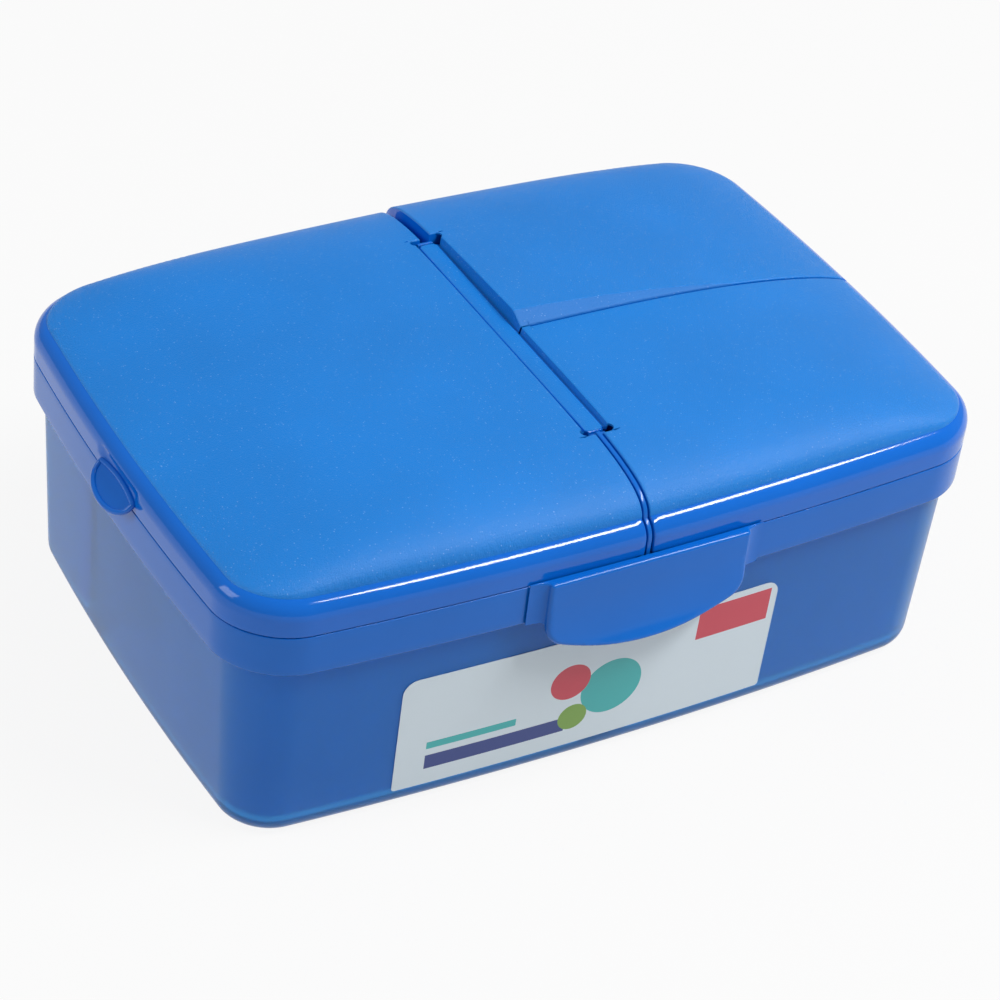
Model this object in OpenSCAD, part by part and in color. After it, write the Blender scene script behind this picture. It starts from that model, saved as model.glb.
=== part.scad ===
// Lunch box with four compartments: a translucent tub, a frame that clips round its rim, and one
// lid moulding whose three lids fold on living hinges about a fixed spine strip.
// +X runs along the long side, +Y to the back, +Z up; the origin is the middle of the base.

/* [Outline] */
// Length over the rim band, at the middle of the short sides
box_l = 210; // [180:1:260]
// Width over the rim band, at the middle of the long sides
box_w = 143; // [120:1:180]
// Radius of the plan corners
corner_r = 17; // [10:1:26]
// How far the middle of a long side bows out beyond its ends
long_bow = 4.6; // [0:0.2:7]
// How far the middle of a short side bows out beyond its ends
short_bow = 3; // [0:0.2:5]

/* [Tub] */
// Height of the tub's rim above the base
tub_h = 62.4; // [45:0.2:90]
// Wall thickness of the tub
tub_wall = 1.8; // [1.4:0.1:2.6]
// Thickness of the tub's floor
tub_floor = 2; // [1.5:0.1:3]
// How far the tub's wall stands inside the band at its rim
tub_inset = 2.7; // [2.5:0.1:4]
// How much farther in the wall has drawn at the base
tub_draft = 1.9; // [0.5:0.1:4]
// Radius between the wall and the base
base_r = 5; // [2:0.5:8]
// Height of the flange round the tub's rim
flange_h = 1.6; // [1:0.1:3]
// How far the flange stands out from the wall
flange_out = 0.5; // [0.2:0.1:0.6]
// Thickness of the dividing walls at their top
divider = 2.2; // [1.6:0.1:3.2]
// Distance from the middle of the box to the wall of the narrow compartment
narrow_y = 24; // [15:1:40]
// Draft of the dividing walls, added to each face at the floor
divider_draft = 0.6; // [0.2:0.1:1.2]
// Radius of the compartments' inner corners
pocket_r = 7; // [4:0.5:12]
// Radius where a compartment's wall meets its floor
floor_r = 5; // [2:0.5:8]

/* [Frame] */
// Height of the rim band
band_h = 11; // [8:0.5:16]
// Wall thickness of the band
band_wall = 1.7; // [1.2:0.1:2]
// Thickness of the frame's top plate
plate_t = 1.8; // [1.2:0.1:2.4]
// Clearance between the top plate and the tub's rim
rim_gap = 0.3; // [0.2:0.05:0.6]
// Width of the top plate round the windows
ledge_w = 7.2; // [6.5:0.1:10]
// Depth of the skirt that plugs into the tub, below the plate
plug_h = 5.5; // [3:0.5:9]
// Thickness of that skirt
plug_t = 1.4; // [1:0.1:2]
// Clearance between the skirt and the tub's wall
plug_gap = 0.4; // [0.3:0.05:0.8]
// Width of the bar over the middle divider
spine_bar_w = 9; // [7:0.5:14]
// Width of the bar over the divider between the two small lids
cross_bar_w = 7; // [5:0.5:10]
// Thickness of the upright rib between the left lid and the right lids
rib_t = 1.2; // [0.8:0.1:1.6]
// Width of the rib's head at each end of the spine strip
rib_head_w = 4.4; // [3:0.2:5]
// Thickness of that head
rib_head_t = 0.9; // [0.6:0.1:1.2]
// Slit between the end of the spine strip and the head
slit = 0.5; // [0.3:0.1:0.8]
// Clearance between the head and the lids beyond it
head_gap = 0.35; // [0.3:0.05:0.6]
// How far the rear part of the rib stays below the lids
rib_rear_drop = 2.4; // [0:0.1:3]

/* [Lids] */
// Gap between a lid's rim and the frame
lid_gap = 0.3; // [0.3:0.05:0.6]
// Wall thickness of the lids
lid_t = 1.6; // [1.2:0.1:2.2]
// Height of the upright wall of the lids
lid_wall_h = 4.1; // [3:0.1:8]
// Radius of the glossy shoulder
shoulder_r = 5; // [3:0.5:8]
// Angle through which the shoulder turns
shoulder_turn = 70; // [50:5:80]
// Height of the pillow above the crease
crown = 8.9; // [5:0.1:12]
// How far the pillow falls towards the short sides
short_fall = 8; // [5:0.1:9]
// How far the pillow falls towards the long sides
long_fall = 4.9; // [3:0.1:7]
// Gap between neighbouring lid edges
seam = 0.7; // [0.6:0.05:1.2]
// Gap on each side of the rib
rib_gap = 0.45; // [0.4:0.05:0.9]
// The same gap along the back right lid, whose edge stands higher
proud_gap = 1; // [0.9:0.05:1.4]
// How far the back right lid stands above its neighbour at the spine
proud = 2.6; // [0:0.1:3]
// Length over which that step runs out
proud_run = 66; // [40:1:80]
// Depth of the sealing skirt below the frame's top
seal_h = 1.5; // [1:0.1:1.7]
// Thickness of the sealing skirt
seal_t = 1.2; // [0.9:0.1:1.6]
// Clearance of the skirt at a window's sides
seal_gap = 0.5; // [0.4:0.05:0.8]
// Clearance of the skirt at the window's outer end, which swings
seal_swing_gap = 0.9; // [0.8:0.05:1.3]

/* [Spine and living hinges] */
// Width of the spine strip between its hinge lines
strip_w = 9.4; // [8:0.2:14]
// Length of the spine strip
strip_l = 86; // [60:1:100]
// Thickness of the spine strip
strip_t = 1.6; // [1.2:0.1:2.2]
// How far the strip lies below the top of the crown
strip_drop = 1.4; // [1:0.1:2]
// Half the width of a hinge groove
groove = 1.2; // [1:0.1:1.6]
// Thickness of a living hinge
web_t = 0.45; // [0.3:0.05:0.6]
// Depth of the hinge below the strip's top
web_drop = 0.8; // [0.6:0.1:1.1]
// Gap between a hinge and its lid, and between the strip's edge and the shelf's
web_gap = 0.3; // [0.3:0.05:0.5]
// Thickness of the shelf that carries the strip
shelf_t = 1.4; // [1:0.1:2]
// Diameter of the relief holes that end a hinge
relief_d = 3.2; // [2:0.1:4]

/* [Finger tabs] */
// Length of a lid's finger tab
tab_l = 20; // [14:0.5:26]
// How far a tab stands out from the lid
tab_out = 5.2; // [3:0.1:6]
// How far a tab's lip hangs below its root
tab_fall = 5.2; // [3:0.1:6]
// Height of a tab's root above the lid's rim
tab_root = 2.6; // [2:0.1:4]
// Thickness of a tab's rolled rim
tab_t = 1.5; // [1.1:0.1:2]
// Thickness of the dished plate inside that rim
tab_dish_t = 0.9; // [0.7:0.1:1.2]
// Radius of the hollow over a tab's root
recess_r = 2.5; // [2:0.1:3]
// Depth of that hollow in the lid's wall
recess_depth = 0.9; // [0.5:0.1:1]
// How far the hollow ends short of the tab's ends
recess_in = 4; // [3:0.1:5]

/* [Front clip] */
// Width of the front clip
clip_w = 55; // [35:1:80]
// Height of the clip's top above the frame
clip_rise = 0.9; // [0:0.1:1.5]
// Height of the clip, from its top down to the lip
clip_h = 21.6; // [16:0.1:26]
// Thickness of the clip
clip_t = 2; // [1.5:0.1:2.6]
// Clearance between the clip and the band
clip_gap = 0.35; // [0.3:0.05:0.6]
// How far the lip flares out at the bottom
clip_flare = 3.4; // [1:0.1:5]
// Radius of the clip's lower corners
clip_r = 7; // [4:0.5:10]
// How much lower the middle of the lip hangs than its ends
clip_sag = 3.2; // [0:0.1:5]
// Width of the fillets that blend the clip's sides into the band
clip_wing = 4.5; // [2:0.1:7]
// Thickness of those fillets at their outer edge
clip_edge = 0.3; // [0.3:0.05:0.6]

/* [Label] */
// Length of the label
label_l = 104; // [60:1:120]
// Height of the label
label_h = 35; // [20:1:42]
// Distance of the label's middle from the middle of the box
label_x = -8; // [-15:1:15]
// Height of the label's lower edge
label_z = 6; // [6:0.5:14]
// Radius of the label's corners
label_r = 4; // [1:0.5:8]
// Thickness of the label
label_t = 0.2; // [0.1:0.05:0.3]
// Gap between the label and the tub
label_gap = 0.04; // [0.02:0.01:0.1]

/* [Hidden] */
ARC = 7;
LONG_STEPS = 8;
SHORT_STEPS = 6;
TAB_STEPS = 10;
TAB_FN = 8;
HOLE_FN = 24;
EPS = 0.01;
RIB_STEPS = 8;
CLIP_STEPS = 8;
LIP_STEPS = 12;
WING_STEPS = 5;
CORNER_STEPS = 3;
CORNER_TURN = 66;
// How deep a piece is sunk into the one that carries it, where both are one moulding
SUNK = 0.25;
// Powers of the crown's fall to the short and the long sides, and of its lip at the crease
SHORT_POWER = 3.2;
LONG_POWER = 5.3;
LIP_POWER = 30;
// Share of the proud lid's step that is lost by the end of the spine strip
PROUD_EASE = 0.55;
FAR = 400;
tub_blue = "#4E93CE";
lid_blue = "#2D82DE";
frame_blue = "#2364B4";
paper = "#E9F1F8";

half_l = box_l / 2;
half_w = box_w / 2;
flange_z = tub_h - flange_h;
plate_z = tub_h + rim_gap;
frame_top = plate_z + plate_t;
band_z = frame_top - band_h;
lid_z = frame_top + lid_gap;
wall_z = lid_z + lid_wall_h;
crease_in = shoulder_r * (1 - cos(shoulder_turn));
crease_z = wall_z + shoulder_r * sin(shoulder_turn);
crown_z = crease_z + crown;
strip_z = crown_z - strip_drop;
web_z = strip_z - web_drop;
hinge_x = strip_w / 2;
strip_end = strip_l / 2;
web_end = strip_end - relief_d / 2;
shelf_z = strip_z - strip_t;
head_mid = strip_end + slit + rib_head_t / 2;
head_end = strip_end + slit + rib_head_t;
pocket_in = tub_inset + tub_wall;
plug_in = pocket_in + plug_gap;

// ---- outlines ----

// A point of the straight-sided plan moved onto the bowed one
function bow(p) = [
    p[0] * (1 - short_bow / half_l * pow(p[1] / half_w, 2)),
    p[1] * (1 - long_bow / half_w * pow(p[0] / half_l, 2))
];

function arc(c, r, from) = [
    for (i = [0:ARC]) c + r * [cos(from + 90 * i / ARC), sin(from + 90 * i / ARC)]
];

function along(p, q, n) = [for (i = [1:n - 1]) p + (q - p) * i / n];

// A rectangle from lo to hi with its own radius at each corner, drawn in by d on every side;
// radii in the order back right, back left, front left, front right
function cell(lo, hi, r, d) =
    let (
        q = [for (k = r) max(k - d, 1)],
        x0 = lo[0] + d,
        x1 = hi[0] - d,
        y0 = lo[1] + d,
        y1 = hi[1] - d
    ) concat(
        arc([x1 - q[0], y1 - q[0]], q[0], 0),
        along([x1 - q[0], y1], [x0 + q[1], y1], LONG_STEPS),
        arc([x0 + q[1], y1 - q[1]], q[1], 90),
        along([x0, y1 - q[1]], [x0, y0 + q[2]], SHORT_STEPS),
        arc([x0 + q[2], y0 + q[2]], q[2], 180),
        along([x0 + q[2], y0], [x1 - q[3], y0], LONG_STEPS),
        arc([x1 - q[3], y0 + q[3]], q[3], 270),
        along([x1, y0 + q[3]], [x1, y1 - q[0]], SHORT_STEPS)
    );

function bowed_cell(lo, hi, r, d) = [for (p = cell(lo, hi, r, d)) bow(p)];

// The plan outline of the box, drawn in by d
function outline(d) =
    bowed_cell([-half_l, -half_w], [half_l, half_w], [for (i = [0:3]) corner_r], d);

function at_height(ring, z) = [for (p = ring) [p[0], p[1], z]];

// ---- solids ----

// A closed solid through rings of equal length, lowest first
module loft(rings) {
    n = len(rings[0]);
    top = (len(rings) - 1) * n;
    sides = [
        for (k = [0:len(rings) - 2])
            for (i = [0:n - 1])
                let (a = k * n + i, b = k * n + (i + 1) % n)
                    each [[a, b + n, b], [a, a + n, b + n]]
    ];
    polyhedron(
        points = [for (r = rings) each r],
        faces = concat([[for (i = [0:n - 1]) i]], sides, [[for (i = [n - 1:-1:0]) top + i]]),
        convexity = 8
    );
}

module prism(ring, z0, z1) {
    translate([0, 0, z0]) linear_extrude(z1 - z0) polygon(ring);
}

module block(lo, hi) {
    translate(lo) cube(hi - lo);
}

// ---- tub ----

// How far the tub's outer face lies inside the band at height z
function wall_in(z) = tub_inset + tub_draft * (1 - z / tub_h);

// Rings of the straight wall between the base radius and the rim, moved out by grow
function wall_rings(grow) = [
    for (z = [base_r, tub_h]) at_height(outline(wall_in(z) - grow), z)
];

function tub_rings() = concat(
    [
        for (k = [0:3])
            let (a = 90 * k / 4, z = base_r * (1 - cos(a)))
                at_height(outline(wall_in(z) + base_r * (1 - sin(a))), z)
    ],
    wall_rings(0)
);

// Inner rings of one compartment; the sides that face a divider lean by the dividers' draft
function pocket_ring(lo, hi, r, d, lean, z) =
    let (
        lo_d = [lo[0] + (lo[0] > -half_l / 2 ? lean : 0), lo[1] + (lo[1] > -half_w / 2 ? lean : 0)],
        hi_d = [hi[0] - (hi[0] < half_l / 2 ? lean : 0), hi[1] - (hi[1] < half_w / 2 ? lean : 0)]
    ) at_height(bowed_cell(lo_d, hi_d, r, d), z);

module pocket(lo, hi, r) {
    loft([
        for (k = [0:3])
            let (
                a = 90 * k / 3,
                z = tub_floor + floor_r * (1 - cos(a)),
                lean = divider_draft * (1 - z / tub_h)
            ) pocket_ring(
                lo, hi, r, tub_draft * (1 - z / tub_h) + floor_r * (1 - sin(a)), lean, z
            ),
        pocket_ring(lo, hi, r, 0, 0, tub_h),
        pocket_ring(lo, hi, r, 0, 0, tub_h + 1)
    ]);
}

// The four compartments, each [lowest corner, highest corner, radii]
out_x = half_l - pocket_in;
out_y = half_w - pocket_in;
out_r = corner_r - pocket_in;
half_div = divider / 2;
POCKETS = [
    [[half_div, half_div], [out_x, out_y], [out_r, pocket_r, pocket_r, pocket_r]],
    [[half_div, -out_y], [out_x, -half_div], [pocket_r, pocket_r, pocket_r, out_r]],
    [[-out_x, narrow_y + half_div], [-half_div, out_y], [pocket_r, out_r, pocket_r, pocket_r]],
    [[-out_x, -out_y], [-half_div, narrow_y - half_div], [pocket_r, pocket_r, out_r, pocket_r]]
];

module tub() {
    color(tub_blue, 0.7) difference() {
        union() {
            loft(tub_rings());
            prism(outline(tub_inset - flange_out), flange_z, tub_h);
        }
        for (p = POCKETS) pocket(p[0], p[1], p[2]);
    }
}

// ---- crown of the lids ----

// How far the pillow has fallen, as a share of the way out to the crease
function fall_short(u) = short_fall * pow(abs(u), SHORT_POWER);
function fall_long(v) = long_fall * pow(abs(v), LONG_POWER);

// The rounded lip by which the pillow drops to the crease; s is the ring's scale
function lip(s) = sqrt(max(0, 1 - pow(s, LIP_POWER)));

// Height of the pillow's outer face over point p of the crease outline scaled by s
function pillow_z(p, s) =
    let (
        u = fall_short(p[0] / (half_l - crease_in)),
        v = fall_long(p[1] / (half_w - crease_in))
    ) crease_z + (crown - norm([u, v])) * lip(s);

// Height of the lids' outer face along the middle of the box
function ridge_z(y) = pillow_z([0, y], abs(y) / (half_w - crease_in));

PILLOW_SCALES = [0.995, 0.985, 0.965, 0.93, 0.88, 0.81, 0.72, 0.6, 0.45, 0.28, 0.1];

// The extra height of the back right lid, greatest at the middle of the box
function swell(p, rise) =
    let (back = 1 - PROUD_EASE * min(1, abs(p[1]) / strip_end))
        rise * back * max(0, 1 - max(p[0], 0) / proud_run);

// The whole lid as a solid block from z0 up; t draws its faces in to make the inner face
module lid_block(z0, t, rise) {
    shoulder = [for (k = [0:4]) shoulder_turn * k / 4];
    rim = outline(crease_in);
    loft([
        at_height(outline(t), z0),
        for (a = shoulder)
            at_height(
                outline(shoulder_r * (1 - cos(a)) + t * cos(a)),
                wall_z + shoulder_r * sin(a) - t * sin(a)
            ),
        for (s = PILLOW_SCALES)
            [for (p = s * rim) [p[0], p[1], pillow_z(p, s) - t + swell(p, rise)]]
    ]);
}

// ---- lids ----

// Plan of a lid: side is -1 for the left lid and 1 for the right ones, edge the distance from the
// rib's middle plane, y0 to y1 the reach along the spine, grow how far all edges draw in
module lid_plan(side, edge, y0, y1, grow) {
    notch = hinge_x + groove + grow;
    head = hinge_x - relief_d / 4 + grow;
    difference() {
        translate([side > 0 ? edge + grow : -FAR - edge - grow, y0 + grow])
            square([FAR, y1 - y0 - 2 * grow]);
        square([2 * notch, 2 * (strip_end + slit + grow)], center = true);
        square([2 * head, 2 * (head_end + head_gap + grow)], center = true);
        for (m = [-1, 1])
            translate([side * hinge_x, m * (strip_end + slit)])
                circle(d = relief_d + 2 * grow, $fn = HOLE_FN);
    }
}

module lid_shell(side, edge, y0, y1, rise) {
    difference() {
        intersection() {
            lid_block(lid_z, 0, rise);
            translate([0, 0, lid_z - 1]) linear_extrude(FAR) lid_plan(side, edge, y0, y1, 0);
        }
        intersection() {
            lid_block(lid_z - 2, lid_t, rise);
            translate([0, 0, lid_z - 3]) linear_extrude(FAR) lid_plan(side, edge, y0, y1, lid_t);
        }
    }
}

// The skirt under a lid that plugs its window, given the window's corners
module seal_skirt(side, lo, hi, rise) {
    near = hinge_x + groove + SUNK;
    a = [side > 0 ? near : lo[0] + seal_swing_gap, lo[1] + seal_gap];
    b = [side > 0 ? hi[0] - seal_swing_gap : -near, hi[1] - seal_gap];
    z0 = frame_top - seal_h;
    r = [for (i = [0:3]) window_r - seal_gap];
    intersection() {
        difference() {
            prism(bowed_cell(a, b, r, 0), z0, FAR);
            prism(bowed_cell(a, b, r, seal_t), z0 - 1, FAR + 1);
        }
        lid_block(z0 - 1, lid_t / 2, rise);
    }
}

// x of the lids' wall on a short side
function wall_x(y) = half_l - short_bow * pow(y / half_w, 2);

// A lid's finger tab on the short side: a half-round plate that slopes down from the lid's wall
// and is dished inside a rolled rim
module finger_tab(side, y) {
    x = wall_x(y) - tab_t / 2;
    root = lid_z + tab_root;
    rim = [
        for (k = [0:TAB_STEPS])
            let (a = 180 * k / TAB_STEPS, w = (tab_l - tab_t) / 2)
                [x + tab_out * sin(a), y + w * cos(a), root - tab_fall * sin(a)]
    ];
    for (k = [0:TAB_STEPS - 1])
        hull() for (p = [rim[k], rim[k + 1]])
            translate([side * p[0], p[1], p[2]]) sphere(d = tab_t, $fn = TAB_FN);
    sink = (tab_t - tab_dish_t) / 2 / norm([tab_out, tab_fall]);
    hull() for (p = rim)
        translate([side * (p[0] - sink * tab_fall), p[1], p[2] - sink * tab_out])
            sphere(d = tab_dish_t, $fn = TAB_FN);
}

// The hollow over a finger tab's root
module tab_recess(side, y) {
    hull() for (m = [-1, 1])
        translate([
            side * (wall_x(y) + recess_r - recess_depth),
            y + m * (tab_l / 2 - recess_in),
            lid_z + tab_root + recess_r
        ])
            sphere(r = recess_r, $fn = HOLE_FN);
}

// Slope along the front edge of the back right lid, cut back most at the spine
module proud_bevel() {
    top = crown_z + proud + 1;
    low = strip_z;
    hull() {
        translate([0, -1, low]) cube([EPS, 1 + seam / 2, EPS]);
        translate([0, -1, top]) cube([EPS, 1 + seam / 2 + proud, EPS]);
        translate([proud_run, -1, low - 1]) cube([EPS, 1 + seam / 2, EPS]);
        translate([proud_run, -1, top]) cube([EPS, 1 + seam / 2, EPS]);
    }
}

// Room under the corner of a lid beyond its hinge line, which dips as the lid starts to open
module dip_room(side, y0, y1) {
    depth = web_z - lid_z;
    past = hinge_x - rib_t / 2 - rib_gap;
    dip_z = web_z - sqrt(depth * depth - past * past);
    out = hinge_x - SUNK;
    block([side > 0 ? 0 : -out, y0, lid_z - 1], [side > 0 ? out : 0, y1, dip_z]);
}

module left_lid() {
    color(lid_blue) {
        difference() {
            union() {
                lid_shell(-1, rib_t / 2 + rib_gap, -half_w, half_w, 0);
                seal_skirt(-1, WINDOWS[0][0], WINDOWS[0][1], 0);
            }
            tab_recess(-1, 0);
            dip_room(-1, strip_end, half_w);
            dip_room(-1, -half_w, -strip_end);
        }
        finger_tab(-1, 0);
    }
}

module back_right_lid() {
    mid = half_w / 2;
    color(lid_blue) {
        difference() {
            union() {
                lid_shell(1, rib_t / 2 + proud_gap, seam / 2, half_w, proud);
                seal_skirt(1, WINDOWS[1][0], WINDOWS[1][1], proud);
            }
            tab_recess(1, mid);
            proud_bevel();
            dip_room(1, strip_end, half_w);
        }
        finger_tab(1, mid);
    }
}

module front_right_lid() {
    mid = -half_w / 2;
    color(lid_blue) {
        difference() {
            union() {
                lid_shell(1, rib_t / 2 + rib_gap, -half_w, -seam / 2, 0);
                seal_skirt(1, WINDOWS[2][0], WINDOWS[2][1], 0);
            }
            tab_recess(1, mid);
            dip_room(1, -half_w, -strip_end);
        }
        finger_tab(1, mid);
    }
}

// ---- frame ----

window_r = 8;
win_x = half_l - ledge_w;
win_y = half_w - ledge_w;
// The three windows, each [lowest corner, highest corner]
WINDOWS = [
    [[-win_x, -win_y], [-spine_bar_w / 2, win_y]],
    [[spine_bar_w / 2, cross_bar_w / 2], [win_x, win_y]],
    [[spine_bar_w / 2, -win_y], [win_x, -cross_bar_w / 2]]
];

// Half of the rib's top edge beyond the spine strip, from the strip out, lowered by drop
function rib_edge(drop) = concat(
    [
        for (i = [0:RIB_STEPS])
            let (y = head_mid + (half_w - crease_in - head_mid) * i / RIB_STEPS)
                [y, ridge_z(y) - drop]
    ],
    [
        for (a = [shoulder_turn, shoulder_turn / 2, 0])
            [half_w - shoulder_r * (1 - cos(a)) - drop, wall_z + shoulder_r * sin(a) - drop]
    ]
);

// Upright rib down the middle, its top edge following the lids beyond the strip
module centre_rib() {
    front = [for (p = rib_edge(SUNK)) [-p[0], p[1]]];
    back = rib_edge(SUNK + rib_rear_drop);
    backwards = [for (i = [len(back) - 1:-1:0]) back[i]];
    foot = frame_top - plate_t / 2;
    edge = concat(
        [[backwards[0][0], foot]],
        backwards,
        [[head_mid, shelf_z], [-head_mid, shelf_z]],
        front,
        [[front[len(front) - 1][0], foot]]
    );
    rotate([90, 0, 90]) translate([0, 0, -rib_t / 2]) linear_extrude(rib_t) polygon(edge);
}

// The skirt that plugs into the tub, notched where the dividing walls join the outer ones
module plug_skirt() {
    low = plate_z - plug_h;
    notch = half_div + pocket_r;
    difference() {
        prism(outline(plug_in), low, frame_top - plate_t / 2);
        prism(outline(plug_in + plug_t), low - 1, frame_top);
        block([-notch, -FAR, 0], [notch, FAR, plate_z]);
        block([0, -notch, 0], [FAR, notch, plate_z]);
        block([-FAR, narrow_y - notch, 0], [0, narrow_y + notch, plate_z]);
    }
}

module rim_frame() {
    shelf_low = shelf_z - shelf_t;
    shelf_half = hinge_x - groove - web_gap;
    color(frame_blue) {
        difference() {
            prism(outline(0), band_z, frame_top);
            prism(outline(band_wall), band_z - 1, plate_z);
            for (w = WINDOWS)
                prism(bowed_cell(w[0], w[1], [for (i = [0:3]) window_r], 0), plate_z - 1, FAR);
        }
        plug_skirt();
        centre_rib();
        block([-shelf_half, -strip_end, shelf_low], [shelf_half, strip_end, shelf_z]);
        for (m = [-1, 1])
            block(
                [-rib_head_w / 2, m * head_mid - rib_head_t / 2, shelf_low],
                [rib_head_w / 2, m * head_mid + rib_head_t / 2, strip_z - SUNK]
            );
    }
}

// ---- spine strip and living hinges ----

module spine_strip() {
    edge = hinge_x - groove;
    color(lid_blue) difference() {
        block([-edge, -strip_end, strip_z - strip_t], [edge, strip_end, strip_z]);
        for (sx = [-1, 1], sy = [-1, 1])
            translate([sx * hinge_x, sy * strip_end, strip_z - strip_t - 1])
                cylinder(d = relief_d, h = strip_t + 2, $fn = HOLE_FN);
    }
}

// A thin web from the strip's edge out to the lid, y0 to y1 along the hinge
module hinge_web(side, y0, y1) {
    inner = hinge_x - groove;
    outer = hinge_x + groove - web_gap;
    color(lid_blue)
        block(
            [side > 0 ? inner : -outer, y0, web_z - web_t / 2],
            [side > 0 ? outer : -inner, y1, web_z + web_t / 2]
        );
}

// ---- front clip ----

clip_z = frame_top + clip_rise;
clip_y = -half_w - clip_gap;

// Outward reach of the clip's back face at height share u, 0 at the top and 1 at the lip
function flare(u) = clip_flare * pow(u, 2.6);

// Front view of the clip: rounded lower corners and a lower edge that sags in the middle
module clip_front() {
    half = clip_w / 2;
    low = clip_z - clip_h + clip_sag;
    corner = [
        for (i = [0:CORNER_STEPS])
            let (a = CORNER_TURN * i / CORNER_STEPS)
                [half - clip_r * (1 - cos(a)), low + clip_r * (1 - sin(a))]
    ];
    end = corner[CORNER_STEPS];
    depth = end[1] - low + clip_sag;
    lip = [
        for (i = [1:LIP_STEPS - 1])
            let (t = 1 - 2 * i / LIP_STEPS) [end[0] * t, end[1] - depth * (1 - t * t)]
    ];
    left = [for (i = [CORNER_STEPS:-1:0]) [-corner[i][0], corner[i][1]]];
    polygon(concat([[-half, clip_z], [half, clip_z]], corner, lip, left));
}

// Back of the clip's upper part at x, which follows the band's bow
function wing_back(x) = -half_w + long_bow * pow(x / (half_l - short_bow), 2) - clip_gap;

// Plan of the clip's upper part, whose sides end in fillets that run out along the band
function wing_plan() =
    let (
        half = clip_w / 2,
        front = clip_y - clip_t,
        shares = [for (i = [WING_STEPS:-1:0]) i / WING_STEPS],
        right = [
            for (s = shares)
                let (
                    x = half + clip_wing * s,
                    edge = wing_back(x) - clip_edge,
                    rise = 1 - sqrt(1 - pow(1 - s, 2))
                ) [x, edge - (edge - front) * rise]
        ],
        left = [for (i = [WING_STEPS:-1:0]) [-right[i][0], right[i][1]]],
        wide = half + clip_wing,
        back = [for (i = [-WING_STEPS:WING_STEPS]) let (x = wide * i / WING_STEPS) [x, wing_back(x)]]
    ) concat(right, left, back);

module front_clip() {
    back = [
        for (i = [0:CLIP_STEPS])
            let (u = i / CLIP_STEPS) [clip_y - flare(u), clip_z - clip_h * u]
    ];
    face = [
        for (i = [CLIP_STEPS:-1:0])
            let (u = i / CLIP_STEPS) [clip_y - clip_t - flare(u), clip_z - clip_h * u]
    ];
    color(frame_blue) {
        intersection() {
            rotate([90, 0, 90])
                translate([0, 0, -clip_w / 2]) linear_extrude(clip_w) polygon(concat(back, face));
            translate([0, clip_y + 1, 0]) rotate([90, 0, 0]) linear_extrude(20) clip_front();
        }
        prism(wing_plan(), band_z, clip_z);
    }
}

// ---- label ----

module label_plan() {
    translate([label_x - label_l / 2 + label_r, label_z + label_r])
        offset(r = label_r, $fn = 32) square([label_l - 2 * label_r, label_h - 2 * label_r]);
}

module label() {
    color(paper) intersection() {
        difference() {
            loft(wall_rings(label_gap + label_t));
            loft(wall_rings(label_gap));
        }
        translate([0, -half_w / 2, 0]) rotate([90, 0, 0]) linear_extrude(half_w) label_plan();
    }
}

tub();
rim_frame();
spine_strip();
hinge_web(-1, -web_end, web_end);  // left_hinge_web
hinge_web(1, seam, web_end);  // back_right_hinge_web
hinge_web(1, -web_end, -seam);  // front_right_hinge_web
left_lid();
back_right_lid();
front_right_lid();
front_clip();
label();
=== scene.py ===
"""Lunch box: the looks of every piece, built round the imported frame.

Sizes are in millimetres until a mesh is written. Overall sizes come from the frame's nodes, and
every moulding follows one bowed, rounded outline, which BoxForm holds.
"""

import logging
import math
from dataclasses import dataclass
from enum import Enum
from typing import Sequence

import bmesh
import bpy
import numpy as np
from mathutils import Matrix, Vector, geometry


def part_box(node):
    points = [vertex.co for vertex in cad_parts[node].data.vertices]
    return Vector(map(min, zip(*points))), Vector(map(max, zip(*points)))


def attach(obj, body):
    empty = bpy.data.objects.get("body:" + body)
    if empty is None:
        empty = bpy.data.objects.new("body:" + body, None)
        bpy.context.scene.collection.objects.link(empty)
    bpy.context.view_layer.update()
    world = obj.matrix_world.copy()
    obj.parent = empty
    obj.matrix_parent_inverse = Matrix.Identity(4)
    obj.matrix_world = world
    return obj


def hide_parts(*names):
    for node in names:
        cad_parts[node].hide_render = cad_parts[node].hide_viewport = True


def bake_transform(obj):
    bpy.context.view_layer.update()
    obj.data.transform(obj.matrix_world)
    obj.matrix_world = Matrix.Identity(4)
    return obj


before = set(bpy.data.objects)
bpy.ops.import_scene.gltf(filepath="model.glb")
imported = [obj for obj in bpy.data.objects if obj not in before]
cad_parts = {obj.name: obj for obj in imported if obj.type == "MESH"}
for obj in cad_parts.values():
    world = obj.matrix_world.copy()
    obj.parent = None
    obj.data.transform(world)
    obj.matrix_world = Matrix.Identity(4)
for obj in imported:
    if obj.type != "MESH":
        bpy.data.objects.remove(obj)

Array = np.ndarray
Floats = Sequence[float]
Socket = bpy.types.NodeSocket
Thing = bpy.types.Object
Tree = bpy.types.NodeTree

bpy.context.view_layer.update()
MM = 0.001
QUARTER_TURN = math.pi / 2
# Where points lie across a rounded edge, as shares of its radius.
EDGE_STEPS = (0.08, 0.3, 0.6, 1.0)
LOG = logging.getLogger("lunch_box")


class Body(Enum):
    """The bodies that pieces ride on."""

    TUB = "tub"
    FRAME = "frame"
    LEFT_LID = "left_lid"
    BACK_RIGHT_LID = "back_right_lid"
    FRONT_RIGHT_LID = "front_right_lid"
    CLIP = "front_clip"


class Coat(Enum):
    """The finishes that pieces are dressed in."""

    TUB = "frosted polypropylene"
    FRAME = "polished polypropylene, frame"
    LID_GLOSS = "polished polypropylene, lids"
    LID_GRAIN = "spark-eroded polypropylene"
    # The bevel finish holds painted light and shade of the slope in its colour.
    LID_BEVEL = "coarse spark-eroded polypropylene"
    LABEL = "coated label paper"


# ---------------------------------------------------------------- the box's form


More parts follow.
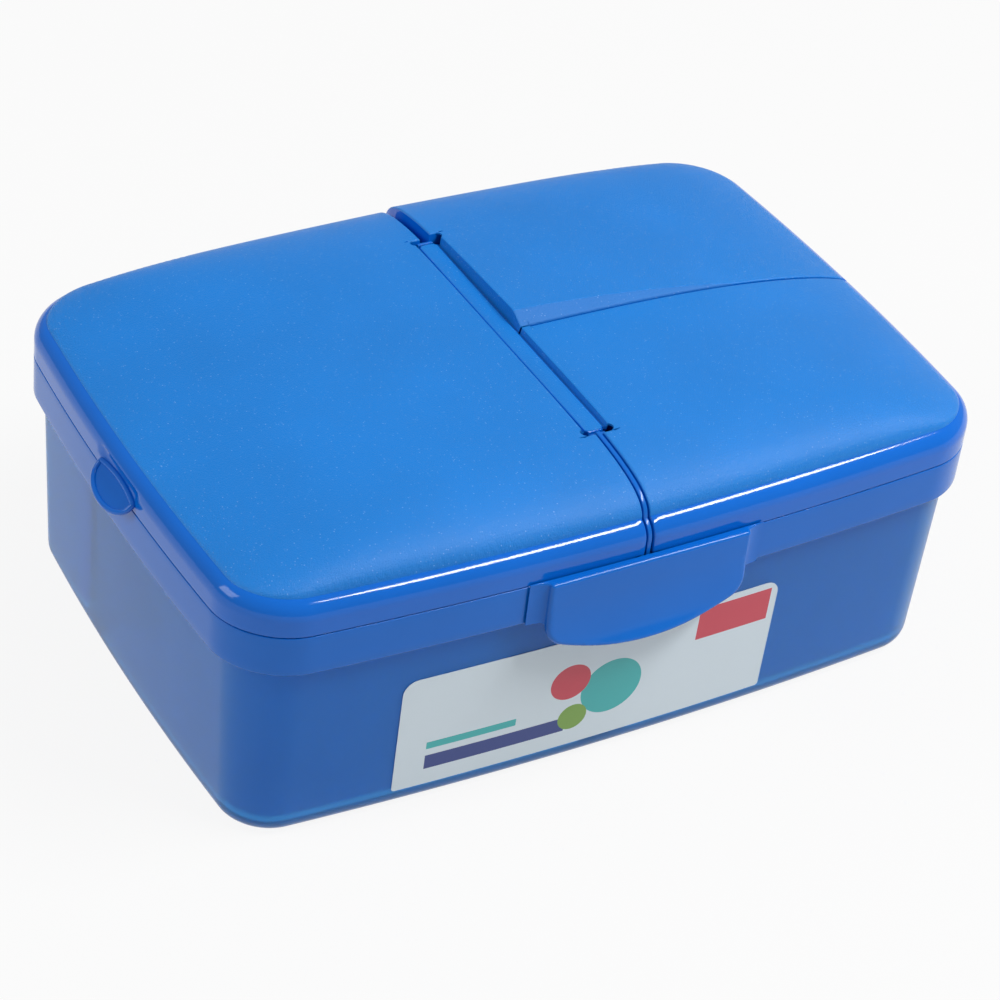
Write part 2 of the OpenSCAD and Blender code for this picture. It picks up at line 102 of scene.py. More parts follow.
def columns(*axes: Array | float) -> Array:
    """Points from the values, or the one value, that they have along each axis."""
    return np.column_stack(np.broadcast_arrays(*axes))


def arc(centre: Floats, r: float, turn: Array) -> Array:
    """Points of a circle about centre at the given turns."""
    return columns(centre[0] + r * np.cos(turn), centre[1] + r * np.sin(turn))


def four_ways(quarter: Array) -> Array:
    """Mirror the outline of the back right quarter into a whole loop, anticlockwise."""
    back = quarter[::-1]
    mirrored = [back[1:] * [-1, 1], quarter[1:] * [-1, -1], back[1:-1] * [1, -1]]
    return np.concatenate([quarter, *mirrored])


@dataclass(frozen=True)
class BoxForm:
    """The outline and the crown that every moulding of the box follows, in millimetres."""

    half_l: float
    half_w: float
    tub_h: float
    corner_r: float = 17.0
    long_bow: float = 4.6  # how far the long sides draw in at their ends
    short_bow: float = 3.0
    rim_gap: float = 0.3
    plate_t: float = 1.8
    lid_gap: float = 0.3
    lid_wall_h: float = 4.1
    shoulder_r: float = 5.0
    shoulder_turn: float = math.radians(70)
    crown: float = 8.9
    short_fall: float = 8.0  # how far the crown falls at the short sides
    short_power: float = 3.2
    long_fall: float = 4.9
    long_power: float = 5.3
    lip_power: float = 30.0
    strip_end: float = 43.0
    strip_drop: float = 1.15
    strip_t: float = 1.6
    narrow_y: float = 24.0  # middle of the divider between the two left compartments
    end_fade: float = 6.0  # over which an outline's end is moved onto its cut

    @classmethod
    def from_frame(cls) -> "BoxForm":
        """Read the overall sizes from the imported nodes."""
        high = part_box("rim_frame")[1]
        return cls(half_l=high.x / MM, half_w=high.y / MM, tub_h=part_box("tub")[1].z / MM)

    @property
    def plate_z(self) -> float:
        """Underside of the frame's top plate."""
        return self.tub_h + self.rim_gap

    @property
    def frame_top(self) -> float:
        """Top of the frame's plate."""
        return self.plate_z + self.plate_t

    @property
    def lid_z(self) -> float:
        """Lower edge of the lids."""
        return self.frame_top + self.lid_gap

    @property
    def wall_z(self) -> float:
        """Where the lids' wall turns into the shoulder."""
        return self.lid_z + self.lid_wall_h

    @property
    def crease_in(self) -> float:
        """How far the crease lies inside the outline."""
        return self.shoulder_r * (1 - math.cos(self.shoulder_turn))

    @property
    def crease_z(self) -> float:
        """Height of the crease between shoulder and pillow."""
        return self.wall_z + self.shoulder_r * math.sin(self.shoulder_turn)

    @property
    def strip_z(self) -> float:
        """Top of the spine strip."""
        return self.crease_z + self.crown - self.strip_drop

    def bow(self, points: Array) -> Array:
        """Move points of the straight-sided plan onto the bowed one."""
        x, y = points[:, 0], points[:, 1]
        bowed_x = x * (1 - self.short_bow / self.half_l * (y / self.half_w) ** 2)
        return columns(bowed_x, y * (1 - self.long_bow / self.half_w * (x / self.half_l) ** 2))

    def unbow(self, points: Array) -> Array:
        """Move points of the bowed plan back onto the straight-sided one."""
        flat = points.copy()
        for _ in range(5):
            x, y = (flat / [self.half_l, self.half_w]).T
            flat[:, 0] = points[:, 0] / (1 - self.short_bow / self.half_l * y**2)
            flat[:, 1] = points[:, 1] / (1 - self.long_bow / self.half_w * x**2)
        return flat

    def quarter(
        self, inset: float, start: float = 0.0, cut: float = 0.0, ease: Floats = ()
    ) -> Array:
        """Outline from the short side at y = cut, round the back corner, to x = start.

        Args:
            inset: how far the outline is drawn in.
            start: x at which the long side ends.
            cut: y at which the short side begins.
            ease: extra distances from both ends at which a point is put.

        Returns:
            The points, all with x and y of zero or more.
        """
        r = self.corner_r - inset
        cx, cy = self.half_l - self.corner_r, self.half_w - self.corner_r
        ys = np.concatenate([[cut], cut + np.array(ease), np.linspace(cut, cy, 38)[1:-1]])
        xs = np.concatenate([[start], start + np.array(ease), np.linspace(start, cx, 42)[1:-1]])
        ys, xs = np.unique(ys), np.unique(xs)[::-1]
        turn = np.linspace(0, QUARTER_TURN, 28)
        short_side = columns(cx + r, ys)
        corner = arc((cx, cy), r, turn)
        long_side = columns(xs, cy + r)
        path = self.bow(np.concatenate([short_side, corner, long_side]))
        for axis, first, end in ((1, cut, path[0, 1]), (0, start, path[-1, 0])):
            fade = np.clip(1 - (path[:, axis] - end) / self.end_fade, 0, 1)
            path[:, axis] += (first - end) * fade
        return path

    def ring(self, inset: float) -> Array:
        """The whole outline drawn in by inset, anticlockwise, without a repeated point."""
        return four_ways(self.quarter(inset))

    def cell(self, low: Floats, high: Floats, radii: Floats, inset: float) -> Array:
        """A bowed rectangle with its own corner radii, drawn in by inset.

        Args:
            low: lowest x and y before the bow.
            high: highest x and y before the bow.
            radii: radii of the back right, back left, front left and front right corners.
            inset: how far every side is drawn in.

        Returns:
            The closed loop, anticlockwise.
        """
        reach = {1: (high[0] - inset, high[1] - inset), -1: (low[0] + inset, low[1] + inset)}
        corners = []
        for k, (right, back) in enumerate(((1, 1), (-1, 1), (-1, -1), (1, -1))):
            r = max(radii[k] - inset, 0.6)
            cx, cy = reach[right][0] - right * r, reach[back][1] - back * r
            turn = QUARTER_TURN * k + np.linspace(0, QUARTER_TURN, 14)
            corners.append(arc((cx, cy), r, turn))
        loop: list[Array] = []
        for corner, following in zip(corners, corners[1:] + corners[:1]):
            here, there = corner[-1], following[0]
            loop += [corner, here + (there - here) * np.linspace(0, 1, 26)[1:-1, None]]
        return self.bow(np.concatenate(loop))

    def share(self, points: Array) -> Array:
        """How far out points lie, as a share of the way to the crease, and never under 0.7."""
        low, high = np.full(len(points), 0.7), np.full(len(points), 1.02)
        cx, cy = self.half_l - self.corner_r, self.half_w - self.corner_r
        for _ in range(26):
            mid = (low + high) / 2
            flat = np.abs(self.unbow(points / mid[:, None]))
            off = np.hypot(np.maximum(flat[:, 0] - cx, 0), np.maximum(flat[:, 1] - cy, 0))
            outside = off > self.corner_r - self.crease_in
            low, high = np.where(outside, mid, low), np.where(outside, high, mid)
        return (low + high) / 2

    def lip(self, points: Array) -> Array:
        """Share of its height that the pillow keeps, falling to 0 in a rounded lip at the crease."""
        return np.sqrt(np.maximum(0, 1 - self.share(points) ** self.lip_power))

    def pillow(self, points: Array) -> Array:
        """Height of the lids' outer face over plan points inside the crease."""
        u = np.abs(points[:, 0] / (self.half_l - self.crease_in)) ** self.short_power
        v = np.abs(points[:, 1] / (self.half_w - self.crease_in)) ** self.long_power
        fall = np.hypot(self.short_fall * u, self.long_fall * v)
        return self.crease_z + (self.crown - fall) * self.lip(points)


# ---------------------------------------------------------------- mesh helpers


def fillet(r: float, count: int) -> list[tuple[float, float]]:
    """Points (in, down) of a rounded edge, from the wall at (0, r) to the face at (r, 0)."""
    turns = np.linspace(0, QUARTER_TURN, count)
    return [(r * (1 - math.cos(a)), r * (1 - math.sin(a))) for a in turns]


def rounded(away: Array, r: float) -> Array:
    """How far a face lies under itself near its rounded edge, by distance from that edge."""
    return np.where(away < r, r - np.sqrt(np.maximum(r * r - (r - away) ** 2, 0)), 0)


def lattice(xs: Array, ys: Array, shift: float = 0.0) -> Array:
    """Plan points at every crossing of xs and ys, with every other row shifted along x."""
    x, y = np.meshgrid(xs, ys)
    x[::2] += shift
    return columns(x.ravel(), y.ravel())


def inside(points: Array, loop: Array) -> Array:
    """Which points lie inside a closed loop, by counting crossings."""
    hit = np.zeros(len(points), bool)
    x, y = points[:, 0], points[:, 1]
    for (ax, ay), (bx, by) in zip(loop, np.roll(loop, -1, axis=0)):
        if ay == by:
            continue
        crosses = (ay > y) != (by > y)
        hit ^= crosses & (x < (bx - ax) * (y - ay) / (by - ay) + ax)
    return hit


def distance(points: Array, line: Array) -> Array:
    """Distance of points from an open line of points."""
    best = np.full(len(points), np.inf)
    for a, b in zip(line[:-1], line[1:]):
        along = b - a
        length = float(along @ along)
        if length == 0:
            continue
        share = np.clip(((points - a) @ along) / length, 0, 1)
        best = np.minimum(best, np.linalg.norm(points - (a + share[:, None] * along), axis=1))
    return best


def resample(line: Array, step: float) -> Array:
    """Split every stretch of a line that is longer than step."""
    out = [line[:1]]
    for a, b in zip(line[:-1], line[1:]):
        parts = max(1, math.ceil(float(np.linalg.norm(b - a)) / step))
        out.append(a + (b - a) * (np.arange(1, parts + 1) / parts)[:, None])
    return np.concatenate(out)


def normals(line: Array, closed: bool = False) -> Array:
    """Unit normals to the right of a line, which is outward on an anticlockwise one."""
    ahead, behind = np.roll(line, -1, axis=0), np.roll(line, 1, axis=0)
    along = ahead - behind if closed else np.gradient(line, axis=0)
    along /= np.maximum(np.linalg.norm(along, axis=1, keepdims=True), 1e-9)
    return columns(along[:, 1], -along[:, 0])


def offset(line: Array, by: float) -> Array:
    """Move an open line sideways, to the left of its direction."""
    return line - by * normals(line)


def triangulate(
    loops: Sequence[Array], points: Array | None = None
) -> tuple[Array, list[tuple[int, ...]]]:
    """Fill the region inside the first loop and outside the others.

    Args:
        loops: closed loops of plan points.
        points: extra points inside the region.

    Returns:
        All plan points, the loops' first, and triangles over them.
    """
    every = np.concatenate(loops if points is None else [*loops, points])
    edges: list[tuple[int, int]] = []
    for loop in loops:
        n, first = len(loop), len(edges)
        edges += [(first + i, first + (i + 1) % n) for i in range(n)]
    _, _, faces, origins, _, _ = geometry.delaunay_2d_cdt(
        [Vector((float(x), float(y))) for x, y in every], edges, [], 0, 1e-5
    )
    source = [o[0] if o else -1 for o in origins]
    keep = np.array([[source[i] for i in f] for f in faces if len(f) == 3])
    keep = keep[(keep >= 0).all(axis=1)]
    centres = every[keep].mean(axis=1)
    wanted = inside(centres, loops[0])
    for loop in loops[1:]:
        wanted &= ~inside(centres, loop)
    return every, [tuple(int(i) for i in t) for t in keep[wanted]]


def fill(loop: Array, points: Array, clear: float) -> tuple[Array, list[tuple[int, ...]]]:
    """Triangulate inside a closed loop, over those points that keep clear of its edge."""
    points = points[inside(points, loop)]
    closed = np.concatenate([loop, loop[:1]])
    return triangulate([loop], points[distance(points, closed) > clear])


def lift(points: Array, height: float | Array) -> Array:
    """Give plan points a height."""
    return columns(*points.T, height)


def link(name: str, data: bpy.types.ID) -> Thing:
    """Put a new object into the scene."""
    thing = bpy.data.objects.new(name, data)
    bpy.context.scene.collection.objects.link(thing)
    return thing


def mend(mesh: bpy.types.Mesh, merge: bool) -> None:
    """Turn a mesh's faces outward, after closing its seams where merge is set."""
    work = bmesh.new()
    work.from_mesh(mesh)
    if merge:
        bmesh.ops.remove_doubles(work, verts=work.verts, dist=2e-6)
        bmesh.ops.dissolve_degenerate(work, edges=work.edges, dist=1e-7)
    bmesh.ops.recalc_face_normals(work, faces=work.faces)
    work.to_mesh(mesh)
    work.free()


class Draft:
    """The vertices and faces of one piece while it is being built."""

    def __init__(self) -> None:
        """Start an empty draft."""
        self.points: list[Array] = []
        self.faces: list[tuple[int, ...]] = []
        self.slots: list[int] = []
        self.count = 0

    def add(self, points: Array, faces: Sequence[Sequence[int]], slot: int = 0) -> None:
        """Add points and the faces over them."""
        first = self.count
        self.points.append(np.asarray(points, float))
        self.count += len(points)
        self.faces += [tuple(first + i for i in f) for f in faces]
        self.slots += [slot] * len(faces)

    def strips(
        self, rings: Sequence[Array], closed: bool, slot: int = 0, joined: bool = False
    ) -> None:
        """Add quads between rings of equal length.

        Args:
            rings: the rings of 3-D points in order.
            closed: whether each ring is a closed loop.
            slot: material slot of the quads.
            joined: whether the last ring is joined to the first.
        """
        n = len(rings[0])
        last = n if closed else n - 1
        pairs = len(rings) if joined else len(rings) - 1
        faces = []
        for k in range(pairs):
            a, b = k * n, (k + 1) % len(rings) * n
            faces += [(a + i, a + (i + 1) % n, b + (i + 1) % n, b + i) for i in range(last)]
        self.add(np.concatenate(rings), faces, slot)

    def make(self, name: str, coats: Sequence[Coat], sharp: float = 38.0) -> Thing:
        """Write the draft as an object at the origin, with closed seams and outward faces.

        Args:
            name: the piece's name.
            coats: the finish of each material slot.
            sharp: edges that turn by more than this many degrees stay sharp.

        Returns:
            The new object.
        """
        mesh = bpy.data.meshes.new(name)
        mesh.from_pydata((np.concatenate(self.points) * MM).tolist(), [], self.faces)
        mesh.polygons.foreach_set("material_index", self.slots)
        mend(mesh, merge=True)
        mesh.shade_smooth()
        mesh.set_sharp_from_angle(angle=math.radians(sharp))
        for coat in coats:
            mesh.materials.append(Finishes.of(coat))
        return link(name, mesh)

    def polygon(self, points: Array, slot: int = 0) -> None:
        """Add one face."""
        self.add(points, [tuple(range(len(points)))], slot)

    def ends(self, rings: Sequence[Array], slot: int = 0) -> None:
        """Close both ends of a run of open rings, with a face over their first and last points."""
        for end in (0, -1):
            self.polygon(np.array([ring[end] for ring in rings]), slot)

    def fold(self, loop: Array) -> None:
        """Fill a loop whose second half runs back beside the first."""
        n = len(loop) // 2
        self.add(loop, [(i, i + 1, 2 * n - 2 - i, 2 * n - 1 - i) for i in range(n - 1)])

    def cap(self, loops: Sequence[Array], slot: int = 0) -> None:
        """Close the region inside the first loop of 3-D points and outside the others."""
        _, faces = triangulate([loop[:, :2] for loop in loops])
        self.add(np.concatenate(loops), faces, slot)

    def slab(
        self, sheets: Sequence[Array], faces: Sequence[tuple[int, ...]], n: int, slot: int = 0
    ) -> None:
        """Add two sheets over the same faces, and the edge between their first n points."""
        for sheet in sheets:
            self.add(sheet, faces, slot)
        self.strips([sheet[:n] for sheet in sheets], closed=True, slot=slot)


def place(piece: Thing, body: Body, slot: str, *nodes: str) -> Thing:
    """Let a piece ride on its body in place of CAD nodes, and log it."""
    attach(piece, body.value)
    if nodes:
        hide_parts(*nodes)
    LOG.info("%s: %d faces on %s", piece.name, len(piece.data.polygons), body.value)
    return piece


# ---------------------------------------------------------------- finishes


def linear(code: str) -> tuple[float, float, float, float]:
    """Turn an sRGB hex colour into Blender's linear values."""
    parts = [int(code[i : i + 2], 16) / 255 for i in (1, 3, 5)]
    return (*[c / 12.92 if c <= 0.04045 else ((c + 0.055) / 1.055) ** 2.4 for c in parts], 1.0)


def add_node(
    tree: Tree,
    kind: str,
    settings: dict[str, object] | None = None,
    inputs: dict[str | int, object] | None = None,
) -> bpy.types.Node:
    """Add a node with its settings, values and links.

    Args:
        tree: the node tree.
        kind: the node's type.
        settings: attributes of the node.
        inputs: a value or an output socket for each input, by name or number.

    Returns:
        The new node.
    """
    node = tree.nodes.new(kind)
    for key, value in (settings or {}).items():
        setattr(node, key, value)
    for key, value in (inputs or {}).items():
        socket = node.inputs[key]
        if isinstance(value, bpy.types.NodeSocket):
            tree.links.new(value, socket)
        else:
            socket.default_value = value
    return node


def field(tree: Tree, kind: str, size_mm: float, inputs: dict[str | int, object]) -> bpy.types.Node:
    """Add a texture that is fixed to the object, with features about size_mm across."""
    at = add_node(tree, "ShaderNodeTexCoord").outputs["Object"]
    return add_node(tree, kind, inputs={"Vector": at, "Scale": 1 / (size_mm * MM), **inputs})


def remap(tree: Tree, value: Socket, span: Floats, to: Floats) -> Socket:
    """Map a value from one span onto another, and hold it at both ends."""
    ends = dict(zip(("From Min", "From Max", "To Min", "To Max"), (*span, *to)))
    return add_node(tree, "ShaderNodeMapRange", inputs={"Value": value, **ends}).outputs["Result"]


def arithmetic(tree: Tree, operation: str, a: Socket | float, b: Socket | float = 0.0) -> Socket:
    """One step of arithmetic on a and b."""
    return add_node(tree, "ShaderNodeMath", {"operation": operation}, {0: a, 1: b}).outputs[0]


def mix_colours(tree: Tree, share: Socket, first: object, second: object) -> Socket:
    """Mix two colours, by the share of the second."""
    inputs = {"Factor": share, 6: first, 7: second}
    return add_node(tree, "ShaderNodeMix", {"data_type": "RGBA"}, inputs).outputs[2]


def bump(tree: Tree, height: Socket, strength: float, depth_mm: float) -> Socket:
    """Turn a height field into a normal, with relief that is depth_mm deep at full strength."""
    inputs = {"Strength": strength, "Distance": depth_mm * MM, "Height": height}
    return add_node(tree, "ShaderNodeBump", inputs=inputs).outputs["Normal"]


def new_material(
    name: str, inputs: dict[str, object]
) -> tuple[bpy.types.Material, Tree, bpy.types.Node]:
    """Start a material, and return it with its tree and its shader, whose inputs are set."""
    material = bpy.data.materials.new(name)
    material.use_nodes = True
    shader = material.node_tree.nodes["Principled BSDF"]
    for key, value in inputs.items():
        shader.inputs[key].default_value = value
    return material, material.node_tree, shader


@dataclass(frozen=True)
class Polypropylene:
    """Injection-moulded polypropylene, a waxy plastic with a soft clear gloss."""

    colour: str
    roughness: float
    ior: float = 1.49
    flow: float = 0.04
    flow_mm: float = 30.0
    scuff_mm: float = 0.9
    scuff: float = 0.02
    transmission: float = 0.0

    def colour_field(self, tree: Tree) -> Socket:
        """Faint flow marks, as moulded plastic has: the colour drifts by a few per cent."""
        clouds = field(tree, "ShaderNodeTexNoise", self.flow_mm, {"Detail": 3.0}).outputs["Fac"]
        tone = remap(tree, clouds, (0.3, 0.7), (1 - self.flow, 1 + self.flow))
        inputs = {"Color": linear(self.colour), "Value": tone}
        return add_node(tree, "ShaderNodeHueSaturation", inputs=inputs).outputs["Color"]

    def relief(self, tree: Tree) -> Socket:
        """The slight waviness of a polished moulding."""
        waves = field(tree, "ShaderNodeTexNoise", self.scuff_mm, {"Detail": 2.0}).outputs["Fac"]
        return bump(tree, waves, self.scuff, 0.1)

    def build(self, name: str) -> bpy.types.Material:
        """Make the material."""
        own = {"Roughness": self.roughness, "IOR": self.ior}
        own["Transmission Weight"] = self.transmission
        material, tree, shader = new_material(name, own)
        tree.links.new(self.colour_field(tree), shader.inputs["Base Color"])
        tree.links.new(self.relief(tree), shader.inputs["Normal"])
        return material


@dataclass(frozen=True)
class GrainedPolypropylene(Polypropylene):
    """Polypropylene moulded on a spark-eroded tool: a fine matt grain, with glints painted on its
    facets.
    """

    grain_mm: float = 0.4
    grain_depth: float = 1.0
    # Size, share, strength and colour of the painted glint specks.
    glint_mm: float = 0.45
    glint_share: float = 0.08
    glint_most: float = 0.45
    glint: str = "#A9D2FA"

    def relief(self, tree: Tree) -> Socket:
        """Pits and facets of the eroded tool, drawn a little coarser than real so they show."""
        rough = {"Detail": 3.0, "Roughness": 0.7}
        pits = field(tree, "ShaderNodeTexNoise", self.grain_mm, rough).outputs["Fac"]
        return bump(tree, pits, self.grain_depth, 0.2)

    def colour_field(self, tree: Tree) -> Socket:
        """The moulding's colour, with painted highlights: pale, coarsened specks where a few facets
        would catch a lamp.
        """
        base = super().colour_field(tree)
        # Pale specks mixed into the base colour: painted highlights, not facets lit by the lamps.
        cells = field(tree, "ShaderNodeTexVoronoi", self.glint_mm, {}).outputs
        parts = add_node(tree, "ShaderNodeSeparateColor", inputs={0: cells["Color"]}).outputs
        chosen = remap(tree, parts[0], (1 - self.glint_share, 1.0), (0.0, self.glint_most))
        near = remap(tree, cells["Distance"], (0.2, 0.45), (1.0, 0.0))
        return mix_colours(tree, arithmetic(tree, "MULTIPLY", chosen, near), base, linear(self.glint))


@dataclass(frozen=True)
class LabelPaper:
    """Coated paper, printed with plain shapes: a coral tag, two bars and three discs.

    The coating gives the eye a dull sheen, where the plastics round it shine or glow.
    """

    middle: tuple[float, float]
    size: tuple[float, float]
    paper: str = "#D9E6EE"
    coral: str = "#CE4456"
    navy: str = "#2A3F86"
    teal: str = "#3FB4B4"
    leaf: str = "#7DA64A"

    def build(self, name: str) -> bpy.types.Material:
        """Make the material."""
        material, tree, shader = new_material(name, {"Roughness": 0.32, "IOR": 1.5})
        at = add_node(tree, "ShaderNodeTexCoord").outputs["Object"]
        scaled = {0: at, "Scale": 1 / MM}
        where = add_node(tree, "ShaderNodeVectorMath", {"operation": "SCALE"}, scaled).outputs[0]
        parts = add_node(tree, "ShaderNodeSeparateXYZ", inputs={0: where}).outputs
        x = arithmetic(tree, "SUBTRACT", parts["X"], self.middle[0])
        z = arithmetic(tree, "SUBTRACT", parts["Z"], self.middle[1])
        right, top = self.size[0] / 2, self.size[1] / 2
        marks = [
            ((27 - right, 7.2 - top), (19, 2.2), self.navy),
            ((20 - right, 12.6 - top), (12, 1.1), self.teal),
            ((right - 46, -1.5), (8.5,), self.teal),
            ((right - 58, 3.5), (5.5,), self.coral),
            ((right - 56, -8.5), (4.0,), self.leaf),
            ((right - 12.5, top - 7.0), (10.5, 5.0), self.coral),
        ]
        colour: Socket | tuple[float, float, float, float] = linear(self.paper)
        for middle, sizes, paint in marks:
            colour = mix_colours(tree, self.mask(tree, (x, z), middle, sizes), colour, linear(paint))
        tree.links.new(colour, shader.inputs["Base Color"])
        return material

    @staticmethod
    def mask(tree: Tree, at: Sequence[Socket], middle: Floats, sizes: Floats) -> Socket:
        """Mask of one printed shape.

        Args:
            tree: the node tree.
            at: where on the label the shader is.
            middle: the shape's middle.
            sizes: a disc's radius, or a bar's two half sizes.

        Returns:
            1 on the shape and 0 off it.
        """
        away = [arithmetic(tree, "SUBTRACT", here, there) for here, there in zip(at, middle)]
        if len(sizes) == 1:
            squares = [arithmetic(tree, "POWER", d, 2.0) for d in away]
            return arithmetic(tree, "LESS_THAN", arithmetic(tree, "ADD", *squares), sizes[0] ** 2)
        off = [arithmetic(tree, "ABSOLUTE", d) for d in away]
        within = [arithmetic(tree, "LESS_THAN", d, half) for d, half in zip(off, sizes)]
        return arithmetic(tree, "MULTIPLY", *within)


class Finishes:
    """Every finish, made once."""

    made: dict[Coat, bpy.types.Material] = {}

    @classmethod
    def prepare(cls, label: "Label") -> None:
        """Make all the materials."""
        recipes = {
            # Frosted, lightly tinted: light passes but scatters, so dividers show as dark shapes.
            Coat.TUB: Polypropylene("#369CE8", 0.28, ior=1.34, scuff=0.08, transmission=0.72),
            # Polished mould: a deep, even blue with soft highlights.
            Coat.FRAME: Polypropylene("#066ACC", 0.2, ior=1.38),
            # Mirror-polished mould: the sharp bright lines along the lids' shoulders.
            Coat.LID_GLOSS: Polypropylene("#046AD2", 0.09, ior=1.42),
            # Fine spark-eroded mould: a satin face that spreads the light, with tiny painted glints.
            Coat.LID_GRAIN: GrainedPolypropylene("#047FDA", 0.38),
            # Coarse spark-eroded mould: a paler, duller slope beside the satin face; its colour, set
            # apart from the lid's, is painted light and shade of the slope.
            Coat.LID_BEVEL: GrainedPolypropylene("#1475CA", 0.6, grain_mm=0.7),
            # Coated paper: white and flat in tone against the blue plastic.
            Coat.LABEL: LabelPaper(label.middle, label.size),
        }
        for coat, recipe in recipes.items():
            cls.made[coat] = recipe.build(coat.value)

    @classmethod
    def of(cls, coat: Coat) -> bpy.types.Material:
        """The material of a finish."""
        return cls.made[coat]


# ---------------------------------------------------------------- swept beads


@dataclass(frozen=True)
class RolledRim:
    """A round bead that Geometry Nodes sweep along a closed path."""

    radius: float
    step: float = 0.35
    sides: int = 14

    def tree(self, coat: Coat) -> Tree:
        """Make the node tree, with the bead's sizes as named inputs."""
        tree = bpy.data.node_groups.new("rolled rim", "GeometryNodeTree")
        given_kinds = {"Path": "Geometry", "Bead Radius": "Float", "Step": "Float", "Sides": "Int"}
        for name, kind in given_kinds.items():
            tree.interface.new_socket(name, in_out="INPUT", socket_type="NodeSocket" + kind)
        tree.interface.new_socket("Bead", in_out="OUTPUT", socket_type="NodeSocketGeometry")
        given = add_node(tree, "NodeGroupInput").outputs
        curve = add_node(tree, "GeometryNodeMeshToCurve", inputs={"Mesh": given["Path"]}).outputs[0]
        spaced = {"Curve": curve, "Length": given["Step"]}
        even = add_node(tree, "GeometryNodeResampleCurve", {"mode": "LENGTH"}, spaced).outputs[0]
        round_bead = {"Resolution": given["Sides"], "Radius": given["Bead Radius"]}
        section = add_node(tree, "GeometryNodeCurvePrimitiveCircle", inputs=round_bead).outputs[0]
        both = {"Curve": even, "Profile Curve": section}
        bead = add_node(tree, "GeometryNodeCurveToMesh", inputs=both).outputs[0]
        bead = add_node(tree, "GeometryNodeSetShadeSmooth", inputs={"Geometry": bead}).outputs[0]
        bead = add_node(tree, "GeometryNodeRealizeInstances", inputs={"Geometry": bead}).outputs[0]
        worn = {"Geometry": bead, "Material": Finishes.of(coat)}
        bead = add_node(tree, "GeometryNodeSetMaterial", inputs=worn).outputs[0]
        add_node(tree, "NodeGroupOutput", inputs={"Bead": bead})
        return tree

    def build(self, name: str, path: Array, coat: Coat) -> Thing:
        """Sweep the bead.

        Args:
            name: the piece's name.
            path: the closed path's points, in millimetres.
            coat: the bead's finish.

        Returns:
            The bead as a plain mesh.
        """
        n = len(path)
        wire = bpy.data.meshes.new(name + "_path")
        wire.from_pydata((path * MM).tolist(), [(i, (i + 1) % n) for i in range(n)], [])
        carrier = link(name + "_path", wire)
        sizes = {"Bead Radius": self.radius * MM, "Step": self.step * MM, "Sides": self.sides}
        modifier = carrier.modifiers.new("rolled rim", "NODES")
        modifier.node_group = self.tree(coat)
        for item in modifier.node_group.interface.items_tree:
            if item.in_out == "INPUT" and item.name in sizes:
                modifier[item.identifier] = sizes[item.name]
        ready = carrier.evaluated_get(bpy.context.evaluated_depsgraph_get())
        mesh = bpy.data.meshes.new_from_object(ready)
        carrier.modifiers.clear()
        bpy.data.objects.remove(carrier)
        mend(mesh, merge=False)
        return link(name, mesh)


# ---------------------------------------------------------------- lids


